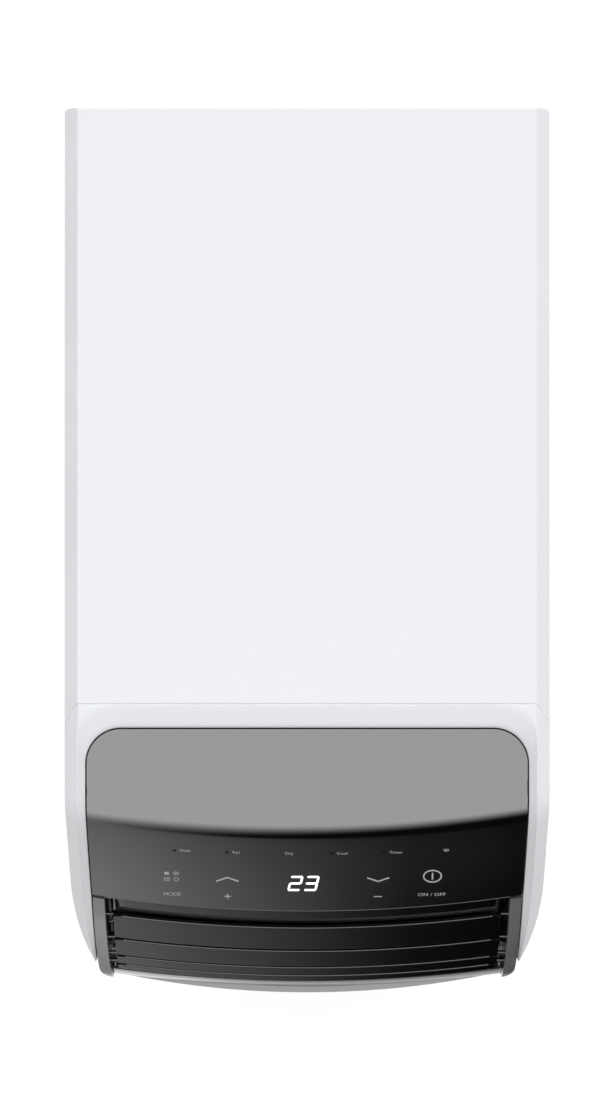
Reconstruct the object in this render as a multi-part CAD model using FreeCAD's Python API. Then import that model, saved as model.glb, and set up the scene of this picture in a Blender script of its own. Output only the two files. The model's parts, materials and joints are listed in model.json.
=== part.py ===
import FreeCAD, Part
import math
import os

from FreeCAD import Vector

# Portable air conditioner, millimetres. +Z up, +X to the user's right-hand side seen from above with
# the rear away, +Y towards the rear (exhaust side), -Y towards the air outlet. Origin: bottom centre.

os.makedirs("parts", exist_ok=True)

# ---- overall size
WIDTH = 345.0
DEPTH = 654.0
HEIGHT = 700.0
HALF_W = WIDTH / 2
REAR_Y = DEPTH / 2
LIP_Y = -DEPTH / 2
BODY_BOTTOM_Z = 55.0
WALL = 2.5
GAP = 0.6                     # seam between neighbouring casing parts

# ---- plan outline of the casing
REAR_CORNER_R = 3.0
SIDE_TURN_R = 160.0           # the sides turn in gently before the front corners
SIDE_TURN_Y = -226.3
SIDE_TURN = math.radians(24.0)
FRONT_CORNER_R = 30.0
FRONT_BOW_R = 712.0           # gentle bow of the front face in plan
STRIP_W = 9.5                 # sloped strip along both top edges
STRIP_DROP = 10.0
EDGE_R = 1.8                  # rounding along both edges of the strip

# ---- side profile of the nose; it is turned about one vertical axis so that it bows in plan
BOW_AXIS_Y = 800.7
BOW_HALF_ANGLE = 14.0
GLASS_SUNK = 5.0
BEND_Y = -174.8
BEND_R = 26.0
SLOPE = math.radians(44.0)
ARC_Y = -133.5                # centre of the louvre arc in side view
ARC_Z = 475.0
SLAT_R = 190.0
FRAME_R = 194.7
SEAM_Y = -94.9                # seam between top cover and nose
SEAM_SIDE_Y = -109.3          # the same seam where it leaves the sloped strip
SEAM_END_Y = -309.3
SEAM_END_Z = 508.0

# ---- seams between the casing parts
COVER_SKIRT_Z = 640.0
FRONT_SEAM_Y = -186.0
REAR_SEAM_Y = 301.0
PANEL_FOOT_Z = 59.6

# ---- control glass
GLASS_HALF_W = 157.0
GLASS_REAR_Y = -112.9
GLASS_CORNER_R = 25.0
GLASS_T = 3.0
GLASS_FRONT_R = BOW_AXIS_Y + 249.1

# ---- outlet
CHEEK_IN_X = 148.0
CHEEK_OUT_X = 156.6
SLAT_HALF_LEN = 142.5
SLAT_T = 2.2
SLAT_EDGES = [43.2, 52.2, 60.5, 66.0, 70.7]   # slopes of the slat boundaries, degrees
SLAT_GAP = 0.35
SLAT_BEAD_R = 1.5
PIVOT_R = 186.0
PIVOT_BELOW_EDGE = 1.1
LEVER = 12.0                  # from slat pivot to link pin, straight back
LEVER_T = 1.5
LINK_X = -146.6               # outer face of the link bar
LINK_T = 2.0
PIN_R = 1.5
LINK_PIN_R = 1.25
RUNNING = 0.05
SILL_TOP_Z = 498.0
SILL_T = 13.0
APRON_SLOPES = (71.1, 84.5)       # fixed apron between the last slat and the sill
TOP_RAIL_R = 192.3
TOP_RAIL_T = 1.2
TOP_RAIL_SLOPES = (34.5, 40.3)
RAIL_STEP_SLOPES = (39.0, 39.5)   # steps in behind the first slat, clear of its sweep
RAIL_LIP_R = 181.0
RAIL_LIP_SLOPES = (39.0, 45.2)

# ---- air guide vanes behind the slats
VANE_COUNT = 6
VANE_PITCH = 46.0
VANE_SLOPE = math.radians(61.5)
VANE_PIVOT_RHO = 132.0
VANE_DEPTH = 46.0
VANE_HEIGHT = 70.0
VANE_T = 1.6
VANE_LINK_BACK = 18.0

# ---- blower
ROTOR_Y = -145.0
ROTOR_Z = 500.0
ROTOR_R = 46.0
ROTOR_HALF_LEN = 124.0
ROTOR_BLADES = 28
DUCT_HALF_W = 131.0

# ---- castors
WHEEL_R = 21.0
WHEEL_HALF_W = 9.0
CASTOR_TRAIL = 13.0
STEM_R = 5.0
CASTORS = [(-128.0, -218.0), (128.0, -218.0), (-138.0, 280.0), (138.0, 280.0)]

# ---- rear face
EXHAUST_X = 70.0
EXHAUST_Z = 300.0
EXHAUST_R = 75.0
DOOR_HALF_W = 128.0
DOOR_Z0 = 425.0
DOOR_Z1 = 635.0
DRAIN_X = -110.0
DRAIN_Z = 100.0
GLAND_X = 130.0
GLAND_Z = 92.0
SCREWS = [(x, z) for x in (-150.0, 150.0) for z in (410.0, 125.0)]


# ---------------------------------------------------------------- helpers
def box(x0, x1, y0, y1, z0, z1):
    return Part.makeBox(x1 - x0, y1 - y0, z1 - z0, Vector(x0, y0, z0))


def rod(r, start, end):
    a = Vector(*start)
    b = Vector(*end)
    return Part.makeCylinder(r, (b - a).Length, a, b - a)


def tube(r_out, r_in, start, end):
    return rod(r_out, start, end).cut(rod(r_in, start, end))


def polygon_face(points):
    return Part.Face(Part.makePolygon([Vector(*p) for p in points + points[:1]]))


def prism_x(points_yz, x0, x1):
    face = polygon_face([(x0, y, z) for y, z in points_yz])
    return face.extrude(Vector(x1 - x0, 0, 0))


def arc_edge(centre, r, a0, a1, at):
    """Arc from angle a0 to a1 (radians) through their middle; at() lifts (u, v) into space."""
    pts = [(centre[0] + r * math.cos(a), centre[1] + r * math.sin(a)) for a in (a0, (a0 + a1) / 2, a1)]
    return Part.Arc(*[at(u, v) for u, v in pts]).toShape()


def line_edge(p, q, at):
    return Part.makeLine(at(*p), at(*q))


def fuse_all(shapes):
    first = shapes[0]
    if len(shapes) == 1:
        return first
    return first.multiFuse(shapes[1:]).removeSplitter()


def save(node, *shapes):
    shape = shapes[0] if len(shapes) == 1 else Part.Compound(list(shapes))
    solids = shape.Solids
    if not solids or not all(s.isValid() for s in solids):
        print("PROBLEM", node, len(solids))
    shape = solids[0] if len(solids) == 1 else Part.Compound(solids)
    shape.exportStep("parts/" + node + ".step")
    b = shape.BoundBox
    print("%-24s %3d solids  %8.1f cm3  x %.1f..%.1f y %.1f..%.1f z %.1f..%.1f" % (
        node, len(solids), shape.Volume / 1000, b.XMin, b.XMax, b.YMin, b.YMax, b.ZMin, b.ZMax))


# ---------------------------------------------------------------- casing
def casing_outline(inset):
    """Closed plan wire of the casing, moved inwards by inset."""
    def at(x, y):
        return Vector(x, y, 0)

    w = HALF_W - inset
    rear = REAR_Y - inset
    rr = max(REAR_CORNER_R - inset, 0.5)
    cx = w - rr
    cy = rear - rr
    turn_r = SIDE_TURN_R - inset
    turn_x = HALF_W - SIDE_TURN_R
    rf = FRONT_CORNER_R - inset
    corner_x = turn_x + (SIDE_TURN_R - FRONT_CORNER_R) * math.cos(SIDE_TURN)
    corner_y = SIDE_TURN_Y - (SIDE_TURN_R - FRONT_CORNER_R) * math.sin(SIDE_TURN)
    bow = FRONT_BOW_R - inset
    bow_y = corner_y + math.sqrt((bow - rf) ** 2 - corner_x ** 2)
    lean = math.asin(corner_x / (bow - rf))
    down = -math.pi / 2
    edges = [
        line_edge((w, SIDE_TURN_Y), (w, cy), at),
        arc_edge((cx, cy), rr, 0, math.pi / 2, at),
        line_edge((cx, rear), (-cx, rear), at),
        arc_edge((-cx, cy), rr, math.pi / 2, math.pi, at),
        line_edge((-w, cy), (-w, SIDE_TURN_Y), at),
        arc_edge((-turn_x, SIDE_TURN_Y), turn_r, math.pi, math.pi + SIDE_TURN, at),
        arc_edge((-corner_x, corner_y), rf, math.pi + SIDE_TURN, 1.5 * math.pi - lean, at),
        arc_edge((0, bow_y), bow, down - lean, down + lean, at),
        arc_edge((corner_x, corner_y), rf, down + lean, -SIDE_TURN, at),
        arc_edge((turn_x, SIDE_TURN_Y), turn_r, -SIDE_TURN, 0, at),
    ]
    return Part.Wire(edges)


def casing_prism(inset, z0, z1):
    wire = casing_outline(inset)
    wire.translate(Vector(0, 0, z0))
    return Part.Face(wire).extrude(Vector(0, 0, z1 - z0))


def at_radius(r, z):
    """A point of the side profile, r being the distance in front of the bow axis."""
    return Vector(0, BOW_AXIS_Y - r, z)


def turned(face, half_angle=BOW_HALF_ANGLE):
    axis_point = Vector(0, BOW_AXIS_Y, 0)
    start = face.copy()
    start.rotate(axis_point, Vector(0, 0, 1), -half_angle)
    return start.revolve(axis_point, Vector(0, 0, 1), 2 * half_angle)


def nose_profile(raise_by, rear_y, bottom_z, front_r=None):
    """Side profile under the nose surface: flat top, bend, straight slope, then the louvre arc.
    raise_by is measured outwards from the glass surface; front_r cuts the slope off plumb."""
    top = HEIGHT - GLASS_SUNK + raise_by
    bend_c = (BOW_AXIS_Y - BEND_Y, HEIGHT - GLASS_SUNK - BEND_R)
    bend = BEND_R + raise_by
    slope_a = math.pi / 2 - SLOPE
    slope_0 = (bend_c[0] + bend * math.cos(slope_a), bend_c[1] + bend * math.sin(slope_a))
    arc_c = (BOW_AXIS_Y - ARC_Y, ARC_Z)
    rear_r = BOW_AXIS_Y - rear_y
    edges = [
        line_edge((rear_r, bottom_z), (rear_r, top), at_radius),
        line_edge((rear_r, top), (bend_c[0], top), at_radius),
        arc_edge(bend_c, bend, math.pi / 2, slope_a, at_radius),
    ]
    if front_r is None:
        arc_r = FRAME_R + raise_by
        slope_1 = (arc_c[0] + arc_r * math.cos(slope_a), arc_c[1] + arc_r * math.sin(slope_a))
        end_z = ARC_Z
        edges.append(line_edge(slope_0, slope_1, at_radius))
        edges.append(arc_edge(arc_c, arc_r, slope_a, 0, at_radius))
        edges.append(line_edge((arc_c[0] + arc_r, end_z), (arc_c[0] + arc_r, bottom_z), at_radius))
        edges.append(line_edge((arc_c[0] + arc_r, bottom_z), (rear_r, bottom_z), at_radius))
    else:
        run = (front_r - slope_0[0]) * math.tan(SLOPE)
        edges.append(line_edge(slope_0, (front_r, slope_0[1] - run), at_radius))
        edges.append(line_edge((front_r, slope_0[1] - run), (front_r, bottom_z), at_radius))
        edges.append(line_edge((front_r, bottom_z), (rear_r, bottom_z), at_radius))
    return Part.Face(Part.Wire(edges))


def side_strip_cutter(inset):
    """Two long cutters that slope the top edges, with both edges of each slope rounded."""
    x1 = HALF_W - inset
    x0 = x1 - STRIP_W
    top = HEIGHT - inset
    tilt = math.atan2(STRIP_DROP, STRIP_W)
    reach_0 = EDGE_R * math.tan(tilt / 2)
    reach_1 = EDGE_R * math.tan((math.pi / 2 - tilt) / 2)
    low = top - STRIP_DROP - reach_1
    cutters = []
    for side in (-1, 1):
        def at(x, z):
            return Vector(side * x, -400, z)

        start = (x0 - reach_0, top)
        on_slope_0 = (x0 + reach_0 * math.cos(tilt), top - reach_0 * math.sin(tilt))
        on_slope_1 = (x1 - reach_1 * math.cos(tilt), top - STRIP_DROP + reach_1 * math.sin(tilt))
        edges = [
            arc_edge((x0 - reach_0, top - EDGE_R), EDGE_R, math.pi / 2, math.pi / 2 - tilt, at),
            line_edge(on_slope_0, on_slope_1, at),
            arc_edge((x1 - EDGE_R, low), EDGE_R, math.pi / 2 - tilt, 0, at),
            line_edge((x1, low), (x1 + 5, low), at),
            line_edge((x1 + 5, low), (x1 + 5, top + 5), at),
            line_edge((x1 + 5, top + 5), (x0 - reach_0, top + 5), at),
            line_edge((x0 - reach_0, top + 5), start, at),
        ]
        cutters.append(Part.Face(Part.Wire(edges)).extrude(Vector(0, 800, 0)))
    return cutters


def rear_edge_cutter(inset):
    """Long cutter that rounds the top rear edge."""
    def at(y, z):
        return Vector(-200, y, z)

    top = HEIGHT - inset
    rear = REAR_Y - inset
    edges = [
        arc_edge((rear - EDGE_R, top - EDGE_R), EDGE_R, math.pi / 2, 0, at),
        line_edge((rear, top - EDGE_R), (rear + 5, top - EDGE_R), at),
        line_edge((rear + 5, top - EDGE_R), (rear + 5, top + 5), at),
        line_edge((rear + 5, top + 5), (rear - EDGE_R, top + 5), at),
        line_edge((rear - EDGE_R, top + 5), (rear - EDGE_R, top), at),
    ]
    return Part.Face(Part.Wire(edges)).extrude(Vector(400, 0, 0))


def casing_solid(inset):
    """The whole casing as one block, moved inwards by inset."""
    block = casing_prism(inset, BODY_BOTTOM_Z - 20, HEIGHT + 30)
    nose = turned(nose_profile(GLASS_SUNK - inset, 420, BODY_BOTTOM_Z - 30), 40)
    block = block.common(nose)
    for cutter in side_strip_cutter(inset) + [rear_edge_cutter(inset)]:
        block = block.cut(cutter)
    return block


def nose_region(shift):
    """Side-view region ahead of and above the seam that sets the nose apart, extruded across."""
    s = shift
    points = [
        (SEAM_Y - s, HEIGHT + 60),
        (SEAM_Y - s, HEIGHT),
        (SEAM_SIDE_Y - s, HEIGHT - STRIP_DROP),
        (SEAM_END_Y - s, SEAM_END_Z + s),
        (-420, SEAM_END_Z + s),
        (-420, HEIGHT + 60),
    ]
    return prism_x(points, -260, 260)


def behind_region(shift):
    """Everything that the nose region leaves, moved back by shift."""
    s = shift
    points = [
        (SEAM_Y + s, HEIGHT + 60),
        (SEAM_Y + s, HEIGHT),
        (SEAM_SIDE_Y + s, HEIGHT - STRIP_DROP - s),
        (SEAM_END_Y + s, SEAM_END_Z - s),
        (-420, SEAM_END_Z - s),
        (-420, 0),
        (420, 0),
        (420, HEIGHT + 60),
    ]
    return prism_x(points, -260, 260)


def opening_outline(grow):
    """Plan wire of the glass opening, open far beyond the front."""
    def at(x, y):
        return Vector(x, y, 440)

    w = GLASS_HALF_W + grow
    rear = GLASS_REAR_Y + grow
    r = GLASS_CORNER_R + grow
    edges = [
        line_edge((w, -420), (w, rear - r), at),
        arc_edge((w - r, rear - r), r, 0, math.pi / 2, at),
        line_edge((w - r, rear), (-w + r, rear), at),
        arc_edge((-w + r, rear - r), r, math.pi / 2, math.pi, at),
        line_edge((-w, rear - r), (-w, -420), at),
        line_edge((-w, -420), (w, -420), at),
    ]
    return Part.Wire(edges)


def opening_prism(grow):
    return Part.Face(opening_outline(grow)).extrude(Vector(0, 0, HEIGHT))


def make_casing():
    outer = casing_solid(0)
    inner = casing_solid(WALL)
    shell = outer.cut(inner)
    behind = behind_region(GAP / 2)
    rear_part = shell.common(behind)

    cover = rear_part.common(box(-260, 260, -420, 420, COVER_SKIRT_Z + GAP, HEIGHT + 60))
    save("top_cover", cover)

    below = rear_part.common(box(-260, 260, -420, 420, PANEL_FOOT_Z, COVER_SKIRT_Z))
    front = below.common(box(-260, 260, -420, FRONT_SEAM_Y - GAP, 0, HEIGHT))
    # the sill stands over the front panel's top edge
    sill_half_w = CHEEK_OUT_X + 3
    front = front.cut(box(-sill_half_w, sill_half_w, -420, -200, SILL_TOP_Z - SILL_T - GAP, HEIGHT))
    save("front_panel", front)

    for side, name in ((-1, "left"), (1, "right")):
        half = box(0, 260, FRONT_SEAM_Y, REAR_SEAM_Y - GAP, 0, HEIGHT)
        if side < 0:
            half = half.mirror(Vector(0, 0, 0), Vector(1, 0, 0))
        save(name + "_side_panel", side_panel(below.common(half), side))

    rear = below.common(box(-260, 260, REAR_SEAM_Y, 420, 0, HEIGHT))
    save("rear_panel", rear_panel(rear))
    make_bezel(outer, inner)


def side_panel(wall, side):
    """Side wall with a recessed grip below the top and a field of slots for the lower intake."""
    grip_y0 = 40.0
    grip_y1 = 170.0
    grip_z0 = 560.0
    grip_z1 = 602.0
    depth = 26.0
    x_out = side * HALF_W
    x_in = side * (HALF_W - depth)
    x_cup = side * (HALF_W - depth - 2)
    x_face = side * (HALF_W - 1)
    cup = box(min(x_cup, x_face), max(x_cup, x_face), grip_y0 - 2, grip_y1 + 2, grip_z0 - 2, grip_z1 + 2)
    panel = wall.fuse(cup)
    x_far = x_out + side
    x_slot = x_out - 6 * side
    panel = panel.cut(box(min(x_in, x_far), max(x_in, x_far), grip_y0, grip_y1, grip_z0, grip_z1))
    slots = []
    for column in range(2):
        for row in range(12):
            y0 = 30.0 + column * 118.0
            z0 = 120.0 + row * 13.0
            slots.append(box(min(x_slot, x_far), max(x_slot, x_far), y0, y0 + 106, z0, z0 + 5))
    return panel.cut(Part.Compound(slots)).removeSplitter()


def rear_panel(wall):
    """Rear wall with the filter door's opening, the exhaust well, and wells for drain and cable."""
    y0 = REAR_Y - 6
    y1 = REAR_Y + 1
    panel = wall.cut(box(-DOOR_HALF_W, DOOR_HALF_W, y0, y1, DOOR_Z0, DOOR_Z1))
    panel = panel.cut(rod(EXHAUST_R + 12, (EXHAUST_X, y0, EXHAUST_Z), (EXHAUST_X, y1, EXHAUST_Z)))
    well_y = REAR_Y - 34
    well = box(DRAIN_X - 22, DRAIN_X + 22, well_y - 2, REAR_Y - 1, DRAIN_Z - 22, DRAIN_Z + 22)
    panel = panel.fuse(well)
    panel = panel.cut(box(DRAIN_X - 20, DRAIN_X + 20, well_y, y1, DRAIN_Z - 20, DRAIN_Z + 20))
    panel = panel.cut(rod(9.0, (DRAIN_X, well_y - 5, DRAIN_Z), (DRAIN_X, y1, DRAIN_Z)))
    panel = panel.cut(rod(11.3, (GLAND_X, y0, GLAND_Z), (GLAND_X, y1, GLAND_Z)))
    for x, z in SCREWS:
        panel = panel.cut(rod(2.1, (x, y0, z), (x, y1, z)))
        panel = panel.cut(rod(4.4, (x, REAR_Y - 2.1, z), (x, y1, z)))
    slots = []
    for row in range(9):
        z0 = 150.0 + row * 13.0
        slots.append(box(-140, -40, y0, y1, z0, z0 + 5))
    return panel.cut(Part.Compound(slots)).removeSplitter()


def make_bezel(outer, inner):
    """White nose frame: thin walls, with a thicker sloped rim round the glass opening."""
    rim_depth = 8.0
    rim_out = opening_prism(5.5)
    nose = nose_region(GAP / 2)
    bezel = outer.common(nose)
    bezel = bezel.cut(inner.cut(rim_out))
    bezel = bezel.cut(casing_solid(rim_depth).common(rim_out))
    bezel = bezel.cut(opening_prism(0.5))
    save("front_bezel", bezel)


# ---------------------------------------------------------------- control glass and board
def make_controls():
    plate = turned(nose_profile(0, GLASS_REAR_Y - 0.4, 560, GLASS_FRONT_R))
    under = turned(nose_profile(-GLASS_T, GLASS_REAR_Y + 40, 540, GLASS_FRONT_R + 10))
    glass = plate.common(opening_prism(-0.4)).cut(under)
    save("control_glass", glass)

    board = box(-118, 118, -24, 24, 0, 1.6)
    parts = [board, box(-16, 16, -9, 9, 1.6, 4.6)]
    for x in (-98, -57, 51, 90):
        parts.append(rod(6.5, (x, 0, 1.6), (x, 0, 3.2)))
    parts.append(box(-112, -96, -20, -12, -8, 0))
    board = fuse_all(parts)
    board.rotate(Vector(0, 0, 0), Vector(1, 0, 0), math.degrees(SLOPE))
    board.translate(Vector(0, -214.0, 651.0))
    save("control_board", board)


# ---------------------------------------------------------------- outlet frame
def band(r_in, r_out, slope_0, slope_1):
    """Section between two radii of the louvre arc; slopes in degrees down from level."""
    c = (BOW_AXIS_Y - ARC_Y, ARC_Z)
    a0 = math.radians(90 - slope_0)
    a1 = math.radians(90 - slope_1)

    def on(r, a):
        return (c[0] + r * math.cos(a), c[1] + r * math.sin(a))

    edges = [
        arc_edge(c, r_out, a0, a1, at_radius),
        line_edge(on(r_out, a1), on(r_in, a1), at_radius),
        arc_edge(c, r_in, a1, a0, at_radius),
        line_edge(on(r_in, a0), on(r_out, a0), at_radius),
    ]
    return Part.Face(Part.Wire(edges))


def on_arc(r, slope_deg, x):
    """Row coordinates (y, z) of a point on the bowed louvre surface at a given x."""
    a = math.radians(90 - slope_deg)
    radius = BOW_AXIS_Y - ARC_Y + r * math.cos(a)
    return BOW_AXIS_Y - math.sqrt(radius ** 2 - x ** 2), ARC_Z + r * math.sin(a)


def pivot_points():
    return [on_arc(PIVOT_R, edge + PIVOT_BELOW_EDGE, SLAT_HALF_LEN) for edge in SLAT_EDGES[:-1]]


def frame_outline_prism(half_w, front_y, z0, z1, corner_r):
    """Plan prism of the dark outlet frame: straight sides, small corners, bowed front."""
    def at(x, y):
        return Vector(x, y, z0)

    bow = FRONT_BOW_R
    cx = half_w - corner_r
    bow_y = front_y + bow
    cy = bow_y - math.sqrt((bow - corner_r) ** 2 - cx ** 2)
    lean = math.asin(cx / (bow - corner_r))
    down = -math.pi / 2
    edges = [
        line_edge((half_w, cy), (half_w, -100), at),
        line_edge((half_w, -100), (-half_w, -100), at),
        line_edge((-half_w, -100), (-half_w, cy), at),
        arc_edge((-cx, cy), corner_r, math.pi, 1.5 * math.pi - lean, at),
        arc_edge((0, bow_y), bow, down - lean, down + lean, at),
        arc_edge((cx, cy), corner_r, down + lean, 0, at),
    ]
    return Part.Face(Part.Wire(edges)).extrude(Vector(0, 0, z1 - z0))


def make_outlet_frame():
    outline = frame_outline_prism(CHEEK_OUT_X, LIP_Y, 480, 660, 10.0)
    ring = turned(band(158, FRAME_R, 37.3, 96.5)).common(outline)
    ring = ring.common(box(-200, 200, -420, 0, SILL_TOP_Z - SILL_T, 700))
    pivots = pivot_points()
    for side, name in ((-1, "left"), (1, "right")):
        xs = sorted((side * CHEEK_IN_X, side * CHEEK_OUT_X))
        cheek = ring.common(box(xs[0], xs[1], -420, 0, 0, 800))
        for y, z in pivots:
            bore_x = side * (CHEEK_IN_X - 1)
            cheek = cheek.cut(rod(PIN_R + RUNNING, (bore_x, y, z), (side * 151.6, y, z)))
        save("outlet_cheek_" + name, cheek)

    bar = frame_outline_prism(CHEEK_IN_X - 0.3, LIP_Y, SILL_TOP_Z - SILL_T, SILL_TOP_Z, 2.0)
    hollow = frame_outline_prism(170, LIP_Y + 24, 400, 600, 2.0)
    bar = bar.cut(hollow)
    groove = frame_outline_prism(170, LIP_Y + 4.5, SILL_TOP_Z - 1.2, 600, 2.0)
    groove = groove.cut(frame_outline_prism(180, LIP_Y + 6.0, 400, 700, 2.0))
    apron = turned(band(SLAT_R - SLAT_T, SLAT_R, *APRON_SLOPES))
    sill_half_w = CHEEK_IN_X - 0.3
    apron = apron.common(box(-sill_half_w, sill_half_w, -420, 0, SILL_TOP_Z - 1, 800))
    save("outlet_sill", fuse_all([bar.cut(groove), apron]))

    step_r = TOP_RAIL_R - TOP_RAIL_T / 2
    lip_in_r = RAIL_LIP_R - TOP_RAIL_T
    rail = fuse_all([
        turned(band(TOP_RAIL_R - TOP_RAIL_T, TOP_RAIL_R, *TOP_RAIL_SLOPES)),
        turned(band(lip_in_r, step_r, *RAIL_STEP_SLOPES)),
        turned(band(lip_in_r, RAIL_LIP_R, *RAIL_LIP_SLOPES)),
    ])
    rail = rail.common(box(-SLAT_HALF_LEN + LEVER_T + 0.4, SLAT_HALF_LEN, -420, 0, 0, 800))
    save("outlet_top_rail", rail)


# ---------------------------------------------------------------- louvre slats
def make_slats():
    pivots = pivot_points()
    for i, (y, z) in enumerate(pivots):
        top = SLAT_EDGES[i]
        bottom = SLAT_EDGES[i + 1] - 2 * SLAT_GAP
        blade = turned(band(SLAT_R - SLAT_T, SLAT_R, top, bottom))
        a = math.radians(90 - bottom)
        bead_c = at_radius(BOW_AXIS_Y - ARC_Y + (SLAT_R - SLAT_BEAD_R) * math.cos(a),
                           ARC_Z + (SLAT_R - SLAT_BEAD_R) * math.sin(a))
        bead = turned(Part.Face(Part.Wire(Part.makeCircle(SLAT_BEAD_R, bead_c, Vector(1, 0, 0)))))
        blade = blade.fuse(bead).common(box(-SLAT_HALF_LEN, SLAT_HALF_LEN, -420, 0, 0, 800))
        pieces = [blade]
        for side in (-1, 1):
            x_in = side * (SLAT_HALF_LEN - LEVER_T)
            x_out = side * SLAT_HALF_LEN
            pieces.append(rod(4.0, (x_in, y, z), (x_out, y, z)))
            pieces.append(rod(PIN_R, (x_in, y, z), (side * 151.0, y, z)))
        x_in = -SLAT_HALF_LEN + LEVER_T
        x_out = -SLAT_HALF_LEN
        pieces.append(box(x_out, x_in, y, y + LEVER, z - 2.6, z + 2.6))
        pieces.append(rod(2.6, (x_in, y + LEVER, z), (x_out, y + LEVER, z)))
        pieces.append(rod(LINK_PIN_R, (x_in, y + LEVER, z), (LINK_X - 0.4, y + LEVER, z)))
        save("louvre_slat_%d" % (i + 1), fuse_all(pieces))

    bar_parts = []
    for i, (y, z) in enumerate(pivots):
        bar_parts.append(rod(2.6, (LINK_X, y + LEVER, z), (LINK_X + LINK_T, y + LEVER, z)))
        if i:
            y0, z0 = pivots[i - 1]
            length = math.hypot(y - y0, z - z0)
            strip = box(LINK_X, LINK_X + LINK_T, -2.0, 2.0, 0, length)
            lean = math.degrees(math.atan2(y - y0, z0 - z))
            strip.rotate(Vector(0, 0, 0), Vector(1, 0, 0), lean + 180)
            strip.translate(Vector(0, y0 + LEVER, z0))
            bar_parts.append(strip)
    bar = fuse_all(bar_parts)
    for y, z in pivots:
        pin_y = y + LEVER
        bar = bar.cut(rod(LINK_PIN_R + RUNNING, (LINK_X - 1, pin_y, z), (LINK_X + LINK_T + 1, pin_y, z)))
    save("slat_link_bar", bar)

    y, z = pivots[0]
    motor_y = y + 13
    motor_z = z - 12
    motor = fuse_all([rod(9.5, (157.2, motor_y, motor_z), (166.5, motor_y, motor_z)),
                      box(157.2, 158.6, motor_y - 4, motor_y + 4, motor_z - 14, motor_z + 14)])
    save("swing_motor", motor)


# ---------------------------------------------------------------- vertical vanes
def vane_frame(shape):
    """Place a shape drawn with +Y along the airflow and +Z across it at the vane pivot line."""
    shape.rotate(Vector(0, 0, 0), Vector(1, 0, 0), -(90 - math.degrees(VANE_SLOPE)))
    y = ARC_Y - VANE_PIVOT_RHO * math.sin(VANE_SLOPE)
    z = ARC_Z + VANE_PIVOT_RHO * math.cos(VANE_SLOPE)
    shape.translate(Vector(0, y, z))
    return shape


def vane_x(i):
    return (i - (VANE_COUNT - 1) / 2) * VANE_PITCH


def make_vanes():
    half = VANE_HEIGHT / 2
    for i in range(VANE_COUNT):
        x = vane_x(i)
        blade = box(x - VANE_T / 2, x + VANE_T / 2, -VANE_DEPTH / 2, VANE_DEPTH / 2, -half, half)
        pieces = [blade,
                  rod(PIN_R, (x, 0, -half - 5), (x, 0, half + 5)),
                  rod(LINK_PIN_R, (x, VANE_LINK_BACK, -half - 5), (x, VANE_LINK_BACK, -half + 4))]
        save("vane_%d" % (i + 1), vane_frame(fuse_all(pieces)))

    rails = []
    for side in (-1, 1):
        z0 = side * (half + 1.0)
        z1 = side * (half + 6.0)
        rail = box(-DUCT_HALF_W, DUCT_HALF_W, -4, 4, min(z0, z1), max(z0, z1))
        for i in range(VANE_COUNT):
            rail = rail.cut(rod(PIN_R + RUNNING, (vane_x(i), 0, -half - 7), (vane_x(i), 0, half + 7)))
        rails.append(rail)
    save("vane_rails", vane_frame(Part.Compound(rails)))

    link = box(vane_x(0) - 4, vane_x(VANE_COUNT - 1) + 4, VANE_LINK_BACK - 2.5, VANE_LINK_BACK + 2.5,
               -half - 4.0, -half - 1.5)
    for i in range(VANE_COUNT):
        link = link.cut(rod(LINK_PIN_R + RUNNING, (vane_x(i), VANE_LINK_BACK, -half - 8),
                            (vane_x(i), VANE_LINK_BACK, -half)))
    save("vane_link", vane_frame(link))


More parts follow.
